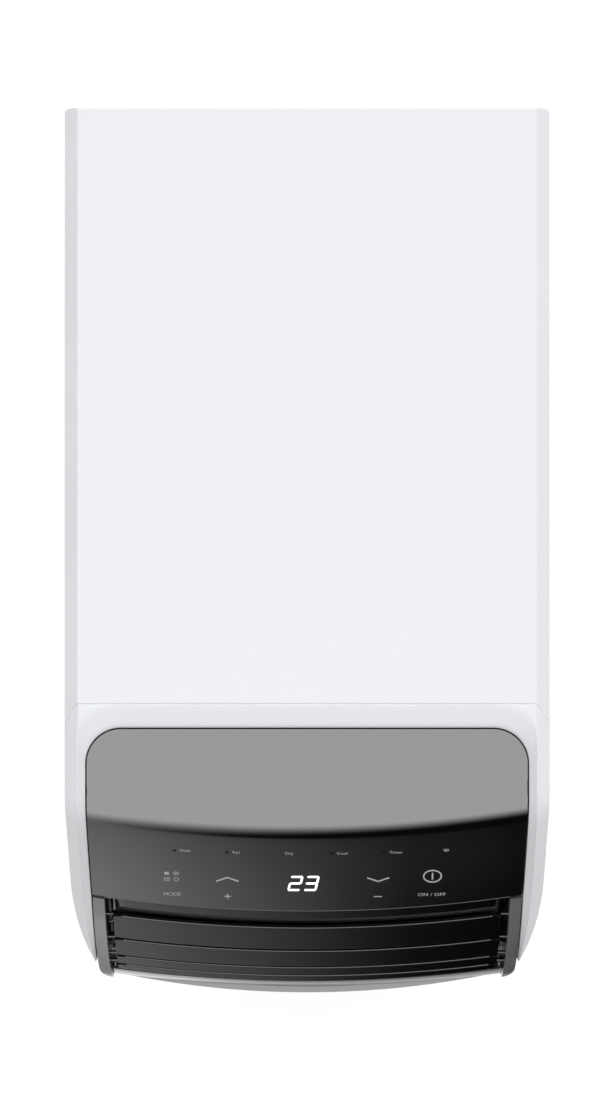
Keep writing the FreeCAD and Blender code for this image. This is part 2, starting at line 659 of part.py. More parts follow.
# ---------------------------------------------------------------- outlet blower
def make_blower():
    shaft_r = 4.0
    pieces = [rod(shaft_r, (-141, ROTOR_Y, ROTOR_Z), (152, ROTOR_Y, ROTOR_Z))]
    for x in (-ROTOR_HALF_LEN, -42, 40, ROTOR_HALF_LEN - 2):
        disc = rod(ROTOR_R, (x, ROTOR_Y, ROTOR_Z), (x + 2, ROTOR_Y, ROTOR_Z))
        if abs(x) < 100:
            disc = disc.cut(rod(ROTOR_R - 9, (x - 1, ROTOR_Y, ROTOR_Z), (x + 3, ROTOR_Y, ROTOR_Z)))
        pieces.append(disc)
    for i in range(ROTOR_BLADES):
        blade = box(-ROTOR_HALF_LEN, ROTOR_HALF_LEN, -0.6, 0.6, ROTOR_R - 8.5, ROTOR_R - 0.5)
        blade.rotate(Vector(0, 0, ROTOR_R - 4.5), Vector(1, 0, 0), 28)
        blade.rotate(Vector(0, 0, 0), Vector(1, 0, 0), 360.0 * i / ROTOR_BLADES)
        blade.translate(Vector(0, ROTOR_Y, ROTOR_Z))
        pieces.append(blade)
    save("blower_rotor", pieces[0].multiFuse(pieces[1:]))

    bearing = tube(11, shaft_r + RUNNING, (-141.5, ROTOR_Y, ROTOR_Z), (-135.5, ROTOR_Y, ROTOR_Z))
    save("blower_bearing", bearing)
    motor = rod(34, (133, ROTOR_Y, ROTOR_Z), (160, ROTOR_Y, ROTOR_Z))
    motor = motor.cut(rod(shaft_r + RUNNING, (130, ROTOR_Y, ROTOR_Z), (152.5, ROTOR_Y, ROTOR_Z)))
    save("blower_motor", motor)

    # volute: a sheet round the back of the rotor that runs out to the sill, between two end plates
    r0 = ROTOR_R + 8
    c = (ROTOR_Y, ROTOR_Z)

    def at(y, z):
        return Vector(-DUCT_HALF_W, y, z)

    back_top = (c[0] + r0 * math.cos(math.radians(70)), c[1] + r0 * math.sin(math.radians(70)))
    low = (c[0], c[1] - r0)
    sill_in = (-306.0, 497.0)
    outer = [
        arc_edge(c, r0 + 2, math.radians(70), math.radians(-90), at),
        line_edge((c[0], c[1] - r0 - 2), (sill_in[0], sill_in[1] - 2), at),
        line_edge((sill_in[0], sill_in[1] - 2), sill_in, at),
        line_edge(sill_in, low, at),
        arc_edge(c, r0, math.radians(-90), math.radians(70), at),
        line_edge(back_top, (c[0] + (r0 + 2) * math.cos(math.radians(70)),
                             c[1] + (r0 + 2) * math.sin(math.radians(70))), at),
    ]
    sheet = Part.Face(Part.Wire(outer)).extrude(Vector(2 * DUCT_HALF_W, 0, 0))
    ahead_of_sill = box(-200, 200, -420, -200, 400, 600)
    ahead_of_sill = ahead_of_sill.cut(frame_outline_prism(190, LIP_Y + 24.6, 400, 600, 2.0))
    sheet = sheet.cut(ahead_of_sill)
    plate_points = [
        (-90, 560),
        (-90, 440),
        (-190, 436),
        (-288, 490),
        (-288, 497),
        (-262, 560),
        (-215, 612),
        (-150, 612),
    ]
    pieces = [sheet]
    for side in (-1, 1):
        x0, x1 = sorted((side * DUCT_HALF_W, side * (DUCT_HALF_W + 2)))
        plate = prism_x(plate_points, x0, x1)
        hole_r = 14 if side < 0 else 36
        plate = plate.cut(rod(hole_r, (x0 - 5, ROTOR_Y, ROTOR_Z), (x1 + 5, ROTOR_Y, ROTOR_Z)))
        pieces.append(plate)
    save("outlet_duct", fuse_all(pieces))


# ---------------------------------------------------------------- refrigeration
def fin_coil(x0, x1, y0, y1, z0, z1, rows):
    """Fin block with tubes looping out at both ends."""
    block = box(x0, x1, y0, y1, z0, z1)
    pieces = [block]
    pitch = (z1 - z0) / rows
    y = (y0 + y1) / 2
    for i in range(rows):
        z = z0 + pitch * (i + 0.5)
        pieces.append(rod(3.5, (x0 - 8, y, z), (x1 + 8, y, z)))
    for i in range(rows - 1):
        z = z0 + pitch * (i + 0.5)
        x = x1 + 8 if i % 2 == 0 else x0 - 8
        pieces.append(rod(3.5, (x, y, z), (x, y, z + pitch)))
    return fuse_all(pieces)


def pipe_run(route, r):
    """Round pipe along straight runs with ball corners."""
    pieces = [rod(r, route[i], route[i + 1]) for i in range(len(route) - 1)]
    pieces += [Part.makeSphere(r, Vector(*p)) for p in route[1:-1]]
    return fuse_all(pieces)


def make_refrigeration():
    save("evaporator_coil", fin_coil(-128, 118, 250, 285, 416, 636, 8))
    tray = box(-140, 135, 232, 296, 398, 414)
    tray = tray.cut(box(-138, 133, 234, 294, 400, 420))
    save("drain_tray", tray)
    save("condenser_coil", fin_coil(-135, 135, -20, 15, 70, 366, 11))

    cx = -78.0
    cy = 190.0
    r = 60.0
    dome = Part.makeSphere(r, Vector(cx, cy, 262)).common(box(-300, 300, -300, 500, 262, 290))
    plinth = box(cx - 62, cx + 62, cy - 62, cy + 62, 76, 90)
    shell = fuse_all([rod(r, (cx, cy, 90), (cx, cy, 262)), dome, plinth])
    hollow = rod(r - 4, (cx, cy, 94), (cx, cy, 258))
    shell = shell.cut(hollow)
    feet = [(cx + sx * 54, cy + sy * 54) for sx in (-1, 1) for sy in (-1, 1)]
    for x, y in feet:
        shell = shell.cut(rod(5, (x, y, 70), (x, y, 95)))
    save("compressor", shell)
    save("compressor_grommets", *[tube(9, 3.2, (x, y, 59.2), (x, y, 75.8)) for x, y in feet])
    ax = 12.0
    ay = 206.0
    save("accumulator", fuse_all([rod(24, (ax, ay, 85), (ax, ay, 205)),
                                  rod(10, (ax, ay, 75), (ax, ay, 85)),
                                  rod(10, (ax, ay, 205), (ax, ay, 215))]))
    route = [
        (ax, ay, 215.2),
        (ax, ay, 228),
        (-10, 202, 262),
        (-28, 196, 330),
        (-28, 222, 388),
        (-28, 222, 430),
    ]
    save("refrigerant_pipes", pipe_run(route, 4.0))


def make_exhaust():
    """Centrifugal fan that blows the warm air out of the rear collar."""
    fx = EXHAUST_X
    fz = EXHAUST_Z - 60
    y0 = 70.0
    y1 = 136.0
    wheel_r = 62.0
    wheel = [rod(wheel_r, (fx, y0 + 6, fz), (fx, y0 + 8, fz)),
             tube(wheel_r, wheel_r - 10, (fx, y1 - 10, fz), (fx, y1 - 8, fz)),
             rod(8, (fx, y0 + 8, fz), (fx, y0 + 30, fz))]
    for i in range(24):
        blade = box(-0.7, 0.7, y0 + 8, y1 - 10, wheel_r - 10, wheel_r - 0.5)
        blade.rotate(Vector(0, 0, wheel_r - 5), Vector(0, 1, 0), 35)
        blade.rotate(Vector(0, 0, 0), Vector(0, 1, 0), 360.0 * i / 24)
        blade.translate(Vector(fx, 0, fz))
        wheel.append(blade)
    wheel = wheel[0].multiFuse(wheel[1:])
    wheel = wheel.cut(rod(3.0 + RUNNING, (fx, y0, fz), (fx, y0 + 40, fz)))
    save("exhaust_fan_wheel", wheel)
    can = rod(30, (fx, y0 - 42, fz), (fx, y0 - 2.6, fz))
    motor = fuse_all([can, rod(3.0, (fx, y0 - 3, fz), (fx, y0 + 26, fz))])
    save("exhaust_fan_motor", motor)

    throat = box(fx - 74, fx + 74, y0, y1, fz, EXHAUST_Z + 82)
    outer = fuse_all([rod(74, (fx, y0, fz), (fx, y1, fz)), throat])
    inner = fuse_all([rod(72, (fx, y0 + 2, fz), (fx, y1 - 2, fz)),
                      box(fx - 72, fx + 72, y0 + 2, y1 - 2, fz, EXHAUST_Z + 80)])
    scroll = outer.cut(inner)
    scroll = scroll.cut(rod(20, (fx, y0 - 1, fz), (fx, y0 + 3, fz)))
    neck = rod(EXHAUST_R + 3, (fx, y1 - 1, EXHAUST_Z + 2), (fx, REAR_Y - 30.3, EXHAUST_Z + 2))
    hole = rod(EXHAUST_R + 1, (fx, y1 - 3, EXHAUST_Z + 2), (fx, REAR_Y, EXHAUST_Z + 2))
    save("fan_scroll", scroll.fuse(neck).cut(hole).removeSplitter())

    y_in = REAR_Y - 30
    y_out = REAR_Y - 3
    collar = rod(EXHAUST_R + 3, (fx, y_in, EXHAUST_Z), (fx, y_out, EXHAUST_Z))
    flange = rod(EXHAUST_R + 11.4, (fx, REAR_Y - 2.4, EXHAUST_Z), (fx, REAR_Y, EXHAUST_Z))
    step = rod(EXHAUST_R + 11.4, (fx, y_out - 1, EXHAUST_Z), (fx, REAR_Y - 2, EXHAUST_Z))
    bore = rod(EXHAUST_R, (fx, y_in - 1, EXHAUST_Z), (fx, REAR_Y + 1, EXHAUST_Z))
    collar = fuse_all([collar, flange, step]).cut(bore)
    save("exhaust_collar", collar)


def make_electrics():
    x0, x1, y0, y1, z0, z1 = -158.0, -96.0, 52.0, 120.0, 90.0, 330.0
    case = box(x0, x1, y0, y1, z0, z1).cut(box(x0 + 2, x1 - 2, y0 + 2, y1 + 5, z0 + 2, z1 - 2))
    save("electrical_box", case)
    save("power_board", fuse_all([box(x0 + 6, x0 + 7.6, y0 + 6, y1 - 4, z0 + 20, z1 - 20),
                                  box(x0 + 7.6, x0 + 22, y0 + 12, y0 + 34, z0 + 60, z0 + 90),
                                  box(x0 + 7.6, x0 + 18, y0 + 40, y0 + 56, z0 + 120, z0 + 150)]))
    save("run_capacitor", rod(14, (x1 - 20, y0 + 30, z0 + 3), (x1 - 20, y0 + 30, z0 + 62)))


# ---------------------------------------------------------------- rear fittings
def make_rear_fittings():
    hinge_z = DOOR_Z0 + 6.5
    hinge_y = REAR_Y - 4.5
    # filter door: louvred panel hinged on two pins along its bottom edge
    door = box(-DOOR_HALF_W + 1, DOOR_HALF_W - 1, REAR_Y - 2.5, REAR_Y, hinge_z - 4, DOOR_Z1 - 1)
    slots = []
    for row in range(13):
        z0 = DOOR_Z0 + 18 + row * 14.0
        for x0, x1 in ((-116, -60), (-56, -2), (2, 56), (60, 116)):
            slots.append(box(x0, x1, REAR_Y - 5, REAR_Y + 1, z0, z0 + 7))
    door = door.cut(Part.Compound(slots))
    finger = rod(14, (0, REAR_Y - 5, DOOR_Z1 + 3), (0, REAR_Y + 1, DOOR_Z1 + 3))
    door = door.cut(finger)
    knuckles = []
    for x in (-112, 112):
        lug = fuse_all([rod(4, (x - 8, hinge_y, hinge_z), (x + 8, hinge_y, hinge_z)),
                        box(x - 8, x + 8, hinge_y, REAR_Y - 1, hinge_z - 4, hinge_z + 4)])
        knuckles.append(lug)
    door = fuse_all([door] + knuckles)
    for x in (-112, 112):
        door = door.cut(rod(2.0 + RUNNING, (x - 9, hinge_y, hinge_z), (x + 9, hinge_y, hinge_z)))
    save("filter_door", door)
    pins = [rod(2.0, (x - 12, hinge_y, hinge_z), (x + 12, hinge_y, hinge_z)) for x in (-112, 112)]
    save("door_hinge_pins", *pins)

    frame = box(-118, 118, 298, 304, 440, 628).cut(box(-112, 112, 297, 305, 446, 622))
    bars = [frame]
    for i in range(1, 8):
        x = -112 + 28.0 * i
        bars.append(box(x - 1, x + 1, 299, 303, 445, 623))
    for i in range(1, 6):
        z = 446 + 29.3 * i
        bars.append(box(-113, 113, 299, 303, z - 1, z + 1))
    save("air_filter", fuse_all(bars))

    spout = tube(7.0, 4.5, (DRAIN_X, REAR_Y - 60, DRAIN_Z), (DRAIN_X, REAR_Y - 12, DRAIN_Z))
    save("drain_spout", spout)
    cap = rod(11.0, (DRAIN_X, REAR_Y - 30, DRAIN_Z), (DRAIN_X, REAR_Y - 6, DRAIN_Z))
    cap = cap.cut(rod(7.05, (DRAIN_X, REAR_Y - 31, DRAIN_Z), (DRAIN_X, REAR_Y - 11, DRAIN_Z)))
    save("drain_cap", cap)

    bore = rod(4.0, (GLAND_X, REAR_Y - 20, GLAND_Z), (GLAND_X, REAR_Y + 1, GLAND_Z))
    gland = fuse_all([rod(11, (GLAND_X, REAR_Y - 14, GLAND_Z), (GLAND_X, REAR_Y, GLAND_Z)),
                      rod(14, (GLAND_X, REAR_Y - 6, GLAND_Z), (GLAND_X, REAR_Y - 2.7, GLAND_Z))])
    save("cable_gland", gland.cut(bore))


# ---------------------------------------------------------------- base and castors
def make_base():
    floor = casing_prism(0.0, BODY_BOTTOM_Z, 59.0)
    rim = casing_prism(WALL + 0.4, 59.0, 74.0).cut(casing_prism(WALL + 2.6, 58.0, 75.0))
    pieces = [floor, rim]
    for x, y in CASTORS:
        pieces.append(rod(21, (x, y, 50.0), (x, y, BODY_BOTTOM_Z + 1)))
        pieces.append(rod(10, (x, y, 58.0), (x, y, 72.0)))
    base = fuse_all(pieces)
    for x, y in CASTORS:
        base = base.cut(rod(STEM_R + RUNNING, (x, y, 40), (x, y, 70.0)))
    save("base_pan", base)


def make_castors():
    for i, (x, y) in enumerate(CASTORS):
        wy = y + CASTOR_TRAIL
        plate = fuse_all([rod(16, (x, y, 45.0), (x, y, 49.0)), rod(STEM_R, (x, y, 45.0), (x, y, 69.0))])
        ears = []
        for side in (-1, 1):
            x0, x1 = sorted((x + side * (WHEEL_HALF_W + 0.8), x + side * (WHEEL_HALF_W + 3.6)))
            ears.append(rod(8.0, (x0, wy, WHEEL_R), (x1, wy, WHEEL_R)))
            ear_points = [(wy - 8, WHEEL_R), (wy + 8, WHEEL_R), (y + 10, 47), (y - 9, 47)]
            ears.append(prism_x(ear_points, x0, x1))
        fork = fuse_all([plate] + ears)
        fork = fork.cut(rod(3.0, (x - 20, wy, WHEEL_R), (x + 20, wy, WHEEL_R)))
        axle = rod(3.0, (x - WHEEL_HALF_W - 4, wy, WHEEL_R), (x + WHEEL_HALF_W + 4, wy, WHEEL_R))
        save("castor_fork_%d" % (i + 1), fork, axle)
        wheel = rod(WHEEL_R, (x - WHEEL_HALF_W, wy, WHEEL_R), (x + WHEEL_HALF_W, wy, WHEEL_R))
        wheel = wheel.makeFillet(2.0, wheel.Edges)
        wheel = wheel.cut(rod(3.0 + RUNNING, (x - 20, wy, WHEEL_R), (x + 20, wy, WHEEL_R)))
        for side in (-1, 1):
            x0, x1 = sorted((x + side * (WHEEL_HALF_W - 2), x + side * (WHEEL_HALF_W + 1)))
            wheel = wheel.cut(tube(16, 6, (x0, wy, WHEEL_R), (x1, wy, WHEEL_R)))
        save("castor_wheel_%d" % (i + 1), wheel)


def make_screws():
    screws = []
    for x, z in SCREWS:
        screws.append(fuse_all([rod(4.0, (x, REAR_Y - 2.0, z), (x, REAR_Y - 0.2, z)),
                                rod(1.9, (x, REAR_Y - 14, z), (x, REAR_Y - 1.5, z))]))
    save("casing_screws", *screws)


make_casing()
make_controls()
make_outlet_frame()
make_slats()
make_vanes()
make_blower()
make_refrigeration()
make_exhaust()
make_electrics()
make_rear_fittings()
make_base()
make_castors()
make_screws()
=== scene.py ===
import json
import math

import bmesh
import bpy
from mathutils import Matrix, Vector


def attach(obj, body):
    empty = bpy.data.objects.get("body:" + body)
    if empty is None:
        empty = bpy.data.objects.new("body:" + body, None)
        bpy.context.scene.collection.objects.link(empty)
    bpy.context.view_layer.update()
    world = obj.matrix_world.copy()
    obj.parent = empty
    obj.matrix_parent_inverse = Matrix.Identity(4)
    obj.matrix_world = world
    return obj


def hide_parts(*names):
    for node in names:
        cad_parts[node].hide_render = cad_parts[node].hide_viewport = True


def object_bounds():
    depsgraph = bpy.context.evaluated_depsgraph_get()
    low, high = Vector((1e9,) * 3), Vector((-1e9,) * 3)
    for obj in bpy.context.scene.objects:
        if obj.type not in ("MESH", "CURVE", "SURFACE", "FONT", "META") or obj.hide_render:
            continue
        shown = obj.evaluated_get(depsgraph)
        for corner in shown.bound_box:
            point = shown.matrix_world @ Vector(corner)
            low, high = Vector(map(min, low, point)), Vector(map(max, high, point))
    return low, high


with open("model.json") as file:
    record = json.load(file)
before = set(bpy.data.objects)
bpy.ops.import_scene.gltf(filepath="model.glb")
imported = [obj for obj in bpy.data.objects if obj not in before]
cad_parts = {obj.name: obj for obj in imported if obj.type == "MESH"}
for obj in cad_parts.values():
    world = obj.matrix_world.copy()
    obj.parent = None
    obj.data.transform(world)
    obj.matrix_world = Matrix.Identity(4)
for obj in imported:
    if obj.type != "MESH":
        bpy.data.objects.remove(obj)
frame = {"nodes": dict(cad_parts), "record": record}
cad_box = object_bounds()

MM = 0.001
MOTTLE_SCALE = 9.0           # colour cells per metre
GRAIN_DEPTH = 0.0002         # metres
NOISE_SPAN = (0.3, 0.7)      # the part of the noise that carries the change


# ---------------------------------------------------------------- node helpers
def new_material(name):
    material = bpy.data.materials.new(name)
    material.use_nodes = True
    nodes = material.node_tree.nodes
    return material, nodes, material.node_tree.links, nodes["Principled BSDF"]


def noise(nodes, links, scale, detail=2.0):
    coords = nodes.new("ShaderNodeTexCoord")
    texture = nodes.new("ShaderNodeTexNoise")
    texture.inputs["Scale"].default_value = scale
    texture.inputs["Detail"].default_value = detail
    links.new(coords.outputs["Object"], texture.inputs["Vector"])
    return texture


def mapped(nodes, links, source, low, high):
    remap = nodes.new("ShaderNodeMapRange")
    remap.inputs["From Min"].default_value, remap.inputs["From Max"].default_value = NOISE_SPAN
    remap.inputs["To Min"].default_value = low
    remap.inputs["To Max"].default_value = high
    links.new(source, remap.inputs["Value"])
    return remap.outputs["Result"]


def add_bump(nodes, links, shader, height, strength, distance):
    bump = nodes.new("ShaderNodeBump")
    bump.inputs["Strength"].default_value = strength
    bump.inputs["Distance"].default_value = distance
    links.new(height, bump.inputs["Height"])
    links.new(bump.outputs["Normal"], shader.inputs["Normal"])


def plastic(name, dark, light, rough, grain=900.0, strength=0.05, ior=1.5, metallic=0.0):
    """Moulded plastic or paint: mottled colour, uneven gloss and a fine grain."""
    material, nodes, links, shader = new_material(name)
    broad = noise(nodes, links, MOTTLE_SCALE, 3.0)
    ramp = nodes.new("ShaderNodeValToRGB")
    for element, place, color in zip(ramp.color_ramp.elements, NOISE_SPAN, (dark, light)):
        element.position = place
        element.color = (*color, 1)
    links.new(broad.outputs["Fac"], ramp.inputs["Fac"])
    links.new(ramp.outputs["Color"], shader.inputs["Base Color"])
    fine = noise(nodes, links, grain)
    links.new(mapped(nodes, links, broad.outputs["Fac"], *rough), shader.inputs["Roughness"])
    add_bump(nodes, links, shader, fine.outputs["Fac"], strength, GRAIN_DEPTH)
    shader.inputs["IOR"].default_value = ior
    shader.inputs["Metallic"].default_value = metallic
    return material


def glow(name, color, strength):
    """Lit display segments, slightly uneven."""
    material, nodes, links, shader = new_material(name)
    cells = noise(nodes, links, 600.0, 1.0)
    brightness = mapped(nodes, links, cells.outputs["Fac"], strength * 0.93, strength)
    links.new(brightness, shader.inputs["Emission Strength"])
    shader.inputs["Base Color"].default_value = (*color, 1)
    shader.inputs["Emission Color"].default_value = (*color, 1)
    links.new(mapped(nodes, links, cells.outputs["Fac"], 0.3, 0.4), shader.inputs["Roughness"])
    return material


# name: (dark colour, light colour, (least, most) roughness, other settings)
FINISHES = {
    "white_casing": ((0.80, 0.807, 0.82), (0.82, 0.827, 0.84), (0.34, 0.42), {"grain": 1400, "strength": 0.06}),
    "control_glass": ((0.003, 0.003, 0.003), (0.004, 0.004, 0.004), (0.02, 0.035),
                      {"grain": 300, "strength": 0.0, "ior": 1.9}),
    "dark_frame": ((0.155, 0.155, 0.158), (0.17, 0.17, 0.173), (0.12, 0.16), {"strength": 0.02, "ior": 2.0}),
    "sill_grey": ((0.05, 0.05, 0.052), (0.06, 0.06, 0.062), (0.12, 0.18), {"strength": 0.02, "ior": 1.9}),
    "slat_black": ((0.0018, 0.0018, 0.002), (0.0028, 0.0028, 0.003), (0.025, 0.04),
                   {"strength": 0.01, "ior": 1.55}),
    # painted reflection: the lip's matt grey is lighter than the black rail so it stands in for the rail's
    # reflected tone
    "lip_painted_reflection_grey": ((0.18, 0.18, 0.183), (0.20, 0.20, 0.203), (0.4, 0.5), {"strength": 0.02}),
    "inner_black": ((0.006, 0.006, 0.006), (0.010, 0.010, 0.010), (0.45, 0.6), {"grain": 700, "strength": 0.1}),
    "motor_steel": ((0.45, 0.46, 0.48), (0.55, 0.56, 0.58), (0.3, 0.45),
                    {"grain": 500, "strength": 0.1, "metallic": 1.0}),
    "coil_aluminium": ((0.55, 0.57, 0.6), (0.7, 0.72, 0.75), (0.35, 0.5),
                       {"grain": 500, "strength": 0.1, "metallic": 1.0}),
    "compressor_paint": ((0.01, 0.01, 0.012), (0.02, 0.02, 0.022), (0.35, 0.5), {}),
    "copper": ((0.6, 0.28, 0.15), (0.7, 0.36, 0.2), (0.25, 0.4),
               {"grain": 500, "strength": 0.1, "metallic": 1.0}),
    "circuit_board": ((0.01, 0.08, 0.03), (0.02, 0.12, 0.05), (0.3, 0.4), {}),
    "rubber": ((0.012, 0.012, 0.013), (0.02, 0.02, 0.021), (0.6, 0.75), {"grain": 600, "strength": 0.3}),
    "filter_mesh": ((0.02, 0.022, 0.025), (0.03, 0.033, 0.036), (0.6, 0.7), {}),
    "castor_grey": ((0.34, 0.35, 0.36), (0.38, 0.39, 0.40), (0.4, 0.5), {}),
    "castor_tread": ((0.03, 0.03, 0.032), (0.045, 0.045, 0.047), (0.55, 0.7), {"grain": 600, "strength": 0.3}),
    "legend_print": ((0.42, 0.42, 0.43), (0.50, 0.50, 0.51), (0.45, 0.55), {"grain": 800, "strength": 0.02}),
    "led_window": ((0.004, 0.004, 0.004), (0.006, 0.006, 0.006), (0.25, 0.35),
                   {"grain": 800, "strength": 0.02, "ior": 1.3}),
}
MATERIALS = {name: plastic(name, dark, light, rough, **other)
             for name, (dark, light, rough, other) in FINISHES.items()}
MATERIALS["display_glow"] = glow("display_glow", (0.96, 0.98, 1.0), 1.1)


def dress_cad_nodes():
    for part in frame["record"]["subparts"]:
        node = frame["nodes"][part["node"]]
        node.data.materials.clear()
        node.data.materials.append(MATERIALS[part["material_slot"]])


# ---------------------------------------------------------------- nose geometry, millimetres
TOP_Z = 700.0
BOW_AXIS_Y = 800.7           # upright axis that the nose is bowed around; rho is the distance from it
BEND_RHO = 975.5             # centre of the bend in the glass
BEND_Z = 669.0
BEND_R = 26.0
SLOPE = math.radians(44.0)
ARC_RHO = 934.2              # centre of the louvre arc
ARC_Z = 475.0
ARC_R = 194.7
BODY_LIFT = 5.0              # the white body above the glass
STRIP_X = 163.0              # inner edge of the sloped strip
STRIP_W = 9.5
STRIP_DROP = 10.0
HALF_W = 172.5
SIDE_TURN_R = 160.0
SIDE_TURN_Y = -226.3
FRONT_CORNER_R = 30.0
FRONT_CORNER_AT = (131.26, -279.2)
FRONT_CORNER_START = math.radians(24)
SEAM_Y = -95.2               # seam between top cover and nose
SEAM_SIDE_Y = -109.6         # the same seam where it leaves the sloped strip
SEAM_SIDE_Z = 690.0
SEAM_FALL = 0.91             # drop per length of the seam down the sides
OPENING_HALF_W = 157.5
OPENING_REAR_Y = -112.4
OPENING_CORNER_R = 25.5
GLASS_HALF_W = 156.6
GLASS_REAR_Y = -113.3
GLASS_CORNER_R = 24.6
GLASS_FRONT_RHO = 1049.8
GLASS_T = 2.6


def rho(x, y):
    return math.hypot(x, BOW_AXIS_Y - y)


def y_at(distance, x):
    return BOW_AXIS_Y - math.sqrt(distance ** 2 - x ** 2)


def nose_z(distance, lift):
    """Height of the surface parallel to the glass, raised by lift: flat, bend, slope, louvre arc."""
    radius = BEND_R + lift
    bend_end = BEND_RHO + radius * math.sin(SLOPE)
    if distance <= BEND_RHO:
        return BEND_Z + radius
    if distance <= bend_end:
        return BEND_Z + math.sqrt(radius ** 2 - (distance - BEND_RHO) ** 2)
    arc = ARC_R + lift
    arc_start = ARC_RHO + arc * math.sin(SLOPE)
    if distance <= arc_start:
        return BEND_Z + radius * math.cos(SLOPE) - (distance - bend_end) * math.tan(SLOPE)
    return ARC_Z + math.sqrt(max(arc ** 2 - (distance - ARC_RHO) ** 2, 0))


def outline_x(y):
    """Half width of the body in plan: straight sides, a gentle turn in, then the front corner."""
    if y >= SIDE_TURN_Y:
        return HALF_W
    turn_end = FRONT_CORNER_AT[1] - FRONT_CORNER_R * math.sin(FRONT_CORNER_START)
    if y >= turn_end:
        return HALF_W - SIDE_TURN_R + math.sqrt(SIDE_TURN_R ** 2 - (y - SIDE_TURN_Y) ** 2)
    return FRONT_CORNER_AT[0] + math.sqrt(max(FRONT_CORNER_R ** 2 - (y - FRONT_CORNER_AT[1]) ** 2, 0))


def make_object(name, points, faces, material, smooth=True):
    mesh = bpy.data.meshes.new(name)
    mesh.from_pydata([(x * MM, y * MM, z * MM) for x, y, z in points], [], faces)
    mesh.validate()
    bm = bmesh.new()
    bm.from_mesh(mesh)
    bmesh.ops.remove_doubles(bm, verts=bm.verts, dist=0.00001)
    bmesh.ops.recalc_face_normals(bm, faces=bm.faces)
    bm.to_mesh(mesh)
    bm.free()
    for polygon in mesh.polygons:
        polygon.use_smooth = smooth
    mesh.materials.append(material)
    obj = bpy.data.objects.new(name, mesh)
    bpy.context.scene.collection.objects.link(obj)
    return obj


def strip_faces(rows, columns, closed=False):
    faces = []
    for i in range(rows - 1):
        for j in range(columns - 1 + closed):
            a = i * columns + j
            b = i * columns + (j + 1) % columns
            faces.append((a, b, b + columns, a + columns))
    return faces


# ---------------------------------------------------------------- white nose frame
DISH_REAR_W = 17.0
DISH_SIDE_W = 6.0
DISH_TURN = 60.0             # degrees round the corner in which the side dish becomes the rear one
RIM_LIFT = 0.1
PLANAR_REAR = 0.85           # share of the fall to the glass that is a plane facet
PLANAR_SIDE = 1.0
ROLL_OFF = 0.3               # part of the facet next to the glass that steepens
RIDGE_SOFTEN = 0.12
INNER_WALL_DROPS = (6.0, 3.0, 0.35)
FACET_START = 0.3
FACET_STEPS = (0.03, 0.08, 0.15, 0.23, 0.32, 0.42, 0.53, 0.65, 0.78, 0.9)
STRIP_STEPS = (0.07, 0.3, 0.6, 0.88, 0.97)
STRIP_SINK = 0.1
OUTER_WALL_STEPS = (0.02, 0.06, 0.2, 0.6, 1.0)
OUTER_WALL_TOP = 0.5
OUTER_WALL_LEAST = 0.6
OUTER_WALL_H = 3.0
OUTER_FLANGE = 2.0
FRONT_STATIONS = [-293.0, -291.0, -288.0, -284.0, -279.0]
SIDE_STATIONS = [-273.0 + 6.0 * i for i in range(23)]
CORNER_STEPS = 28
REAR_STEPS = 12
FAR = 1e9


def smooth_step(t):
    t = min(max(t, 0.0), 1.0)
    return t * t * (3 - 2 * t)


def frame_stations():
    """Stations from the front of the right side round to the middle of the rear edge:
    (point on the opening, outward direction, width to the ridge, share of the full width)."""
    centre = (OPENING_HALF_W - OPENING_CORNER_R, OPENING_REAR_Y - OPENING_CORNER_R)
    stations = []
    for y in [v for v in FRONT_STATIONS + SIDE_STATIONS if v < centre[1] - 1.0]:
        share = min((outline_x(y) - OPENING_HALF_W) / (HALF_W - OPENING_HALF_W), 1.0)
        stations.append(((OPENING_HALF_W, y), (1.0, 0.0), (STRIP_X - OPENING_HALF_W) * share, share))
    for i in range(CORNER_STEPS + 1):
        angle = math.radians(90 * i / CORNER_STEPS)
        n = (math.cos(angle), math.sin(angle))
        p = (centre[0] + OPENING_CORNER_R * n[0], centre[1] + OPENING_CORNER_R * n[1])
        to_side = (STRIP_X - p[0]) / n[0] if n[0] > 1e-6 else FAR
        to_rear = (SEAM_Y - p[1]) / n[1] if n[1] > 1e-6 else FAR
        stations.append((p, n, min(to_side, to_rear), 1.0))
    for i in range(1, REAR_STEPS + 1):
        point = (centre[0] * (1 - i / REAR_STEPS), OPENING_REAR_Y)
        stations.append((point, (0.0, 1.0), SEAM_Y - OPENING_REAR_Y, 1.0))
    return stations


def facet_points(station):
    """Inner wall and the facet that rises from the glass to the ridge."""
    (px, py), (nx, ny), width, share = station
    turn = smooth_step(math.degrees(math.atan2(ny, max(nx, 1e-9))) / DISH_TURN)
    dish = (DISH_SIDE_W + (DISH_REAR_W - DISH_SIDE_W) * turn) * share
    planar = PLANAR_SIDE + (PLANAR_REAR - PLANAR_SIDE) * turn
    places = [(0.0, RIM_LIFT, drop) for drop in INNER_WALL_DROPS]
    places.append((min(0.12, width * 0.05), RIM_LIFT, 0.1))
    start = FACET_START * share
    for f in FACET_STEPS:
        d = start + f * (width - start)
        u = min(d / dish, 1.0)
        fall = planar * (1 - u) + (1 - planar) * max(1 - u / ROLL_OFF, 0.0) ** 3
        places.append((d, BODY_LIFT - (BODY_LIFT - RIM_LIFT) * fall, 0.0))
    places.append((width, BODY_LIFT - RIDGE_SOFTEN, 0.0))
    points = []
    for distance, lift, drop in places:
        x = px + nx * distance
        y = py + ny * distance
        points.append((x, y, nose_z(rho(x, y), lift) - drop))
    return points


